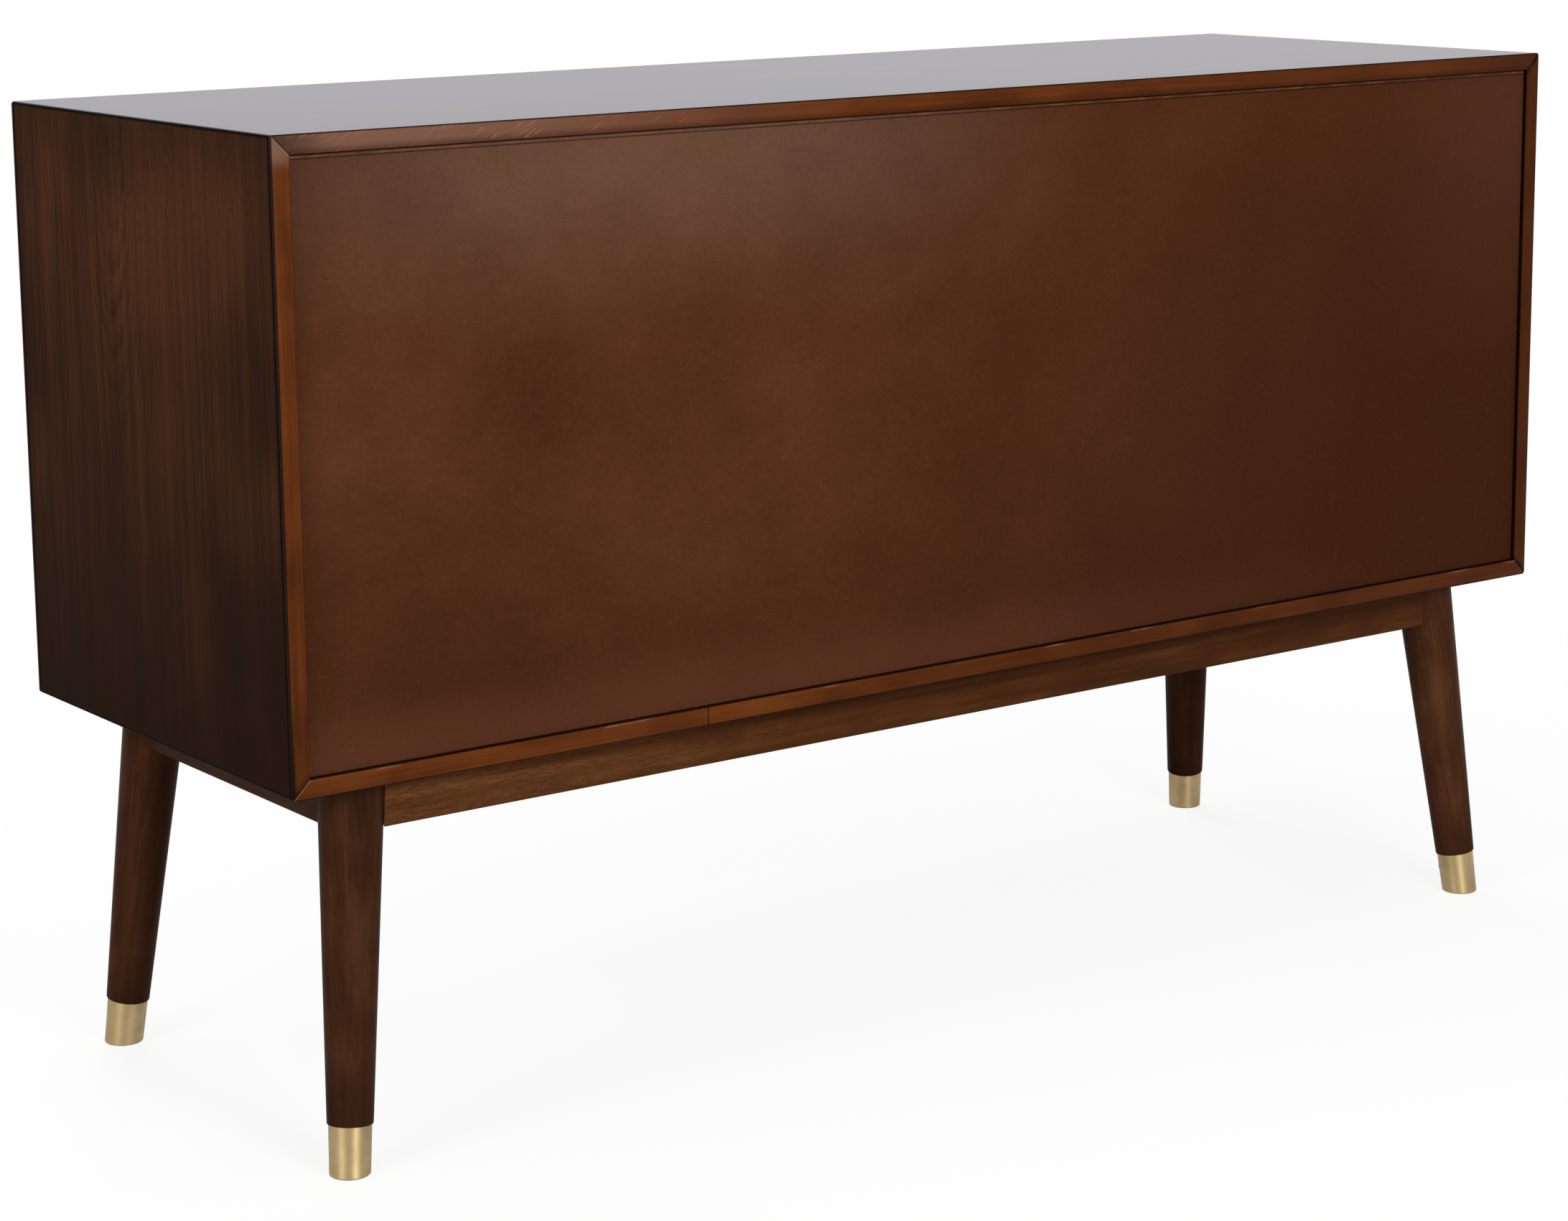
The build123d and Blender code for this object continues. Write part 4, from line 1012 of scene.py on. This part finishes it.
def aim(place, target):
    """A matrix that stands at place and looks at target."""
    turn = (Vector(target) - Vector(place)).to_track_quat("-Z", "Y")
    return Matrix.Translation(place) @ turn.to_matrix().to_4x4()


def area_light(name, place, target, width, watts, mirrored):
    """A square lamp that the camera doesn't see."""
    lamp = bpy.data.lights.new(name, "AREA")
    lamp.shape = "SQUARE"
    lamp.size = width
    lamp.energy = watts
    holder = bpy.data.objects.new(name, lamp)
    holder.matrix_world = aim(place, target)
    holder.visible_camera = False
    holder.visible_glossy = mirrored
    bpy.context.scene.collection.objects.link(holder)


def seen_as(tree, *kinds):
    """1 where these kinds of ray meet a surface or the sky, such as the camera's, and 0 for all others."""
    path = add(tree, "ShaderNodeLightPath", out=None)
    seen = path[kinds[0]]
    for kind in kinds[1:]:
        seen = add(tree, "ShaderNodeMath", {0: seen, 1: path[kind]}, operation="MAXIMUM")
    return seen


class SIDEBOARD_OT_stage(bpy.types.Operator):
    """Set up the floor, the soft studio light and the camera"""
    bl_idname = "sideboard.stage"
    bl_label = "Studio"

    def execute(self, context):
        settings = studio()
        scene = context.scene
        scene.view_settings.view_transform = "Standard"
        self.lay_floor()
        self.light(scene, settings)
        self.place_camera(scene, settings)
        return {"FINISHED"}

    def lay_floor(self):
        """A pale sweep that keeps the shadow near the object and fades to white further out."""
        reach, near, distant = 60.0, 0.7, 2.2
        shape = bmesh.new()
        bmesh.ops.create_grid(shape, x_segments=1, y_segments=1, size=reach)
        mesh = bpy.data.meshes.new("floor")
        shape.to_mesh(mesh)
        shape.free()
        material, tree = new_tree("studio_floor_pale")
        seen = seen_as(tree, "Is Camera Ray")
        pale = lay_over(tree, colours().floor_bounce, (colours().floor, (seen, 0.0, 1.0)))
        matt = add(tree, "ShaderNodeBsdfDiffuse", {"Color": pale})
        glow = add(tree, "ShaderNodeEmission", {"Color": WHITE, "Strength": 1.0})
        place = add(tree, "ShaderNodeTexCoord", out="Object")
        far = add(tree, "ShaderNodeVectorMath", {0: place}, "Value", operation="LENGTH")
        shown = soft_mask(tree, (seen, 0.0, 1.0), (far, near, distant, 0.85, 1.0))
        polished = seen_as(tree, "Is Glossy Ray", "Is Transmission Ray")
        room = border_room(tree, case_low, case_high)
        under = add(tree, "ShaderNodeMath", {0: room[0], 1: room[1]}, operation="MINIMUM")
        shaded = (under, -20.0, 90.0, 1.0, 0.1)
        mirrored = soft_mask(tree, (polished, 0.0, 1.0), (far, near, distant, 0.5, 1.0), shaded)
        share = sum_of(tree, (shown, 1.0), (mirrored, 1.0))
        shader = add(tree, "ShaderNodeMixShader", {0: share, 1: matt, 2: glow})
        add(tree, "ShaderNodeOutputMaterial", {"Surface": shader}, out=None)
        mesh.materials.append(material)
        floor = bpy.data.objects.new("floor", mesh)
        bpy.context.scene.collection.objects.link(floor)

    def light(self, scene, settings):
        """An even sky that looks white, and four soft lamps."""
        scene.world = bpy.data.worlds.new("studio")
        scene.world.use_nodes = True
        tree = scene.world.node_tree
        tree.nodes.clear()
        seen = seen_as(tree, "Is Camera Ray", "Is Glossy Ray", "Is Transmission Ray")
        strength = soft_mask(tree, (seen, 0.0, 1.0, settings.ambient, 1.0))
        tone = lay_over(tree, WHITE, (colours().sky, (seen_as(tree, "Is Glossy Ray"), 0.0, 1.0)))
        sky = add(tree, "ShaderNodeBackground", {"Color": tone, "Strength": strength})
        add(tree, "ShaderNodeOutputWorld", {"Surface": sky}, out=None)
        for name, (place, target, width, mirrored) in LAMPS.items():
            area_light(name, place, target, width, getattr(settings, f"{name}_light"), mirrored)

    def place_camera(self, scene, settings):
        """A camera that stands where the settings say, turned by its azimuth, pitch and roll."""
        azimuth, pitch, roll = settings.azimuth, settings.pitch, settings.roll
        level = math.cos(pitch)
        back = Vector((math.sin(azimuth) * level, -math.cos(azimuth) * level, math.sin(pitch)))
        across = (-back).cross(Vector((0.0, 0.0, 1.0))).normalized()
        upward = across.cross(-back)
        right = math.cos(roll) * across + math.sin(roll) * upward
        top = -math.sin(roll) * across + math.cos(roll) * upward
        data = bpy.data.cameras.new("camera")
        data.sensor_width = 36.0
        data.lens = settings.focal
        data.shift_y = settings.rise
        camera = bpy.data.objects.new("camera", data)
        turn = Matrix((right, top, back)).transposed().to_4x4()
        camera.matrix_world = Matrix.Translation(settings.camera_place) @ turn
        scene.collection.objects.link(camera)
        scene.camera = camera


class SIDEBOARD_PT_panel(bpy.types.Panel):
    """Lists the steps, sizes and colours of the sideboard"""
    bl_label = "Sideboard"
    bl_idname = "SIDEBOARD_PT_panel"
    bl_space_type = "VIEW_3D"
    bl_region_type = "UI"
    bl_category = "Sideboard"

    def draw(self, context):
        for operator in operators:
            self.layout.operator(operator.bl_idname)
        for group in (sizes(), colours(), studio()):
            box = self.layout.box()
            for name in group.__annotations__:
                box.prop(group, name)


operators = (
    SIDEBOARD_OT_case,
    SIDEBOARD_OT_back,
    SIDEBOARD_OT_strips,
    SIDEBOARD_OT_base,
    SIDEBOARD_OT_fronts,
    SIDEBOARD_OT_drawers,
    SIDEBOARD_OT_metalwork,
    SIDEBOARD_OT_screws,
    SIDEBOARD_OT_stage,
)
groups = (SideboardSizes, SideboardColours, SideboardStudio)
classes = (*groups, *operators, SIDEBOARD_PT_panel)


def register():
    for part in classes:
        bpy.utils.register_class(part)
    bpy.types.Scene.sideboard_sizes = PointerProperty(type=SideboardSizes)
    bpy.types.Scene.sideboard_colours = PointerProperty(type=SideboardColours)
    bpy.types.Scene.sideboard_studio = PointerProperty(type=SideboardStudio)


def unregister():
    del bpy.types.Scene.sideboard_studio
    del bpy.types.Scene.sideboard_colours
    del bpy.types.Scene.sideboard_sizes
    for part in reversed(classes):
        bpy.utils.unregister_class(part)


def main():
    register()
    bpy.ops.sideboard.case()
    bpy.ops.sideboard.back()
    bpy.ops.sideboard.strips()
    bpy.ops.sideboard.base()
    bpy.ops.sideboard.fronts()
    bpy.ops.sideboard.drawers()
    bpy.ops.sideboard.metalwork()
    bpy.ops.sideboard.screws()
    bpy.ops.sideboard.stage()


if __name__ == "__main__":
    main()
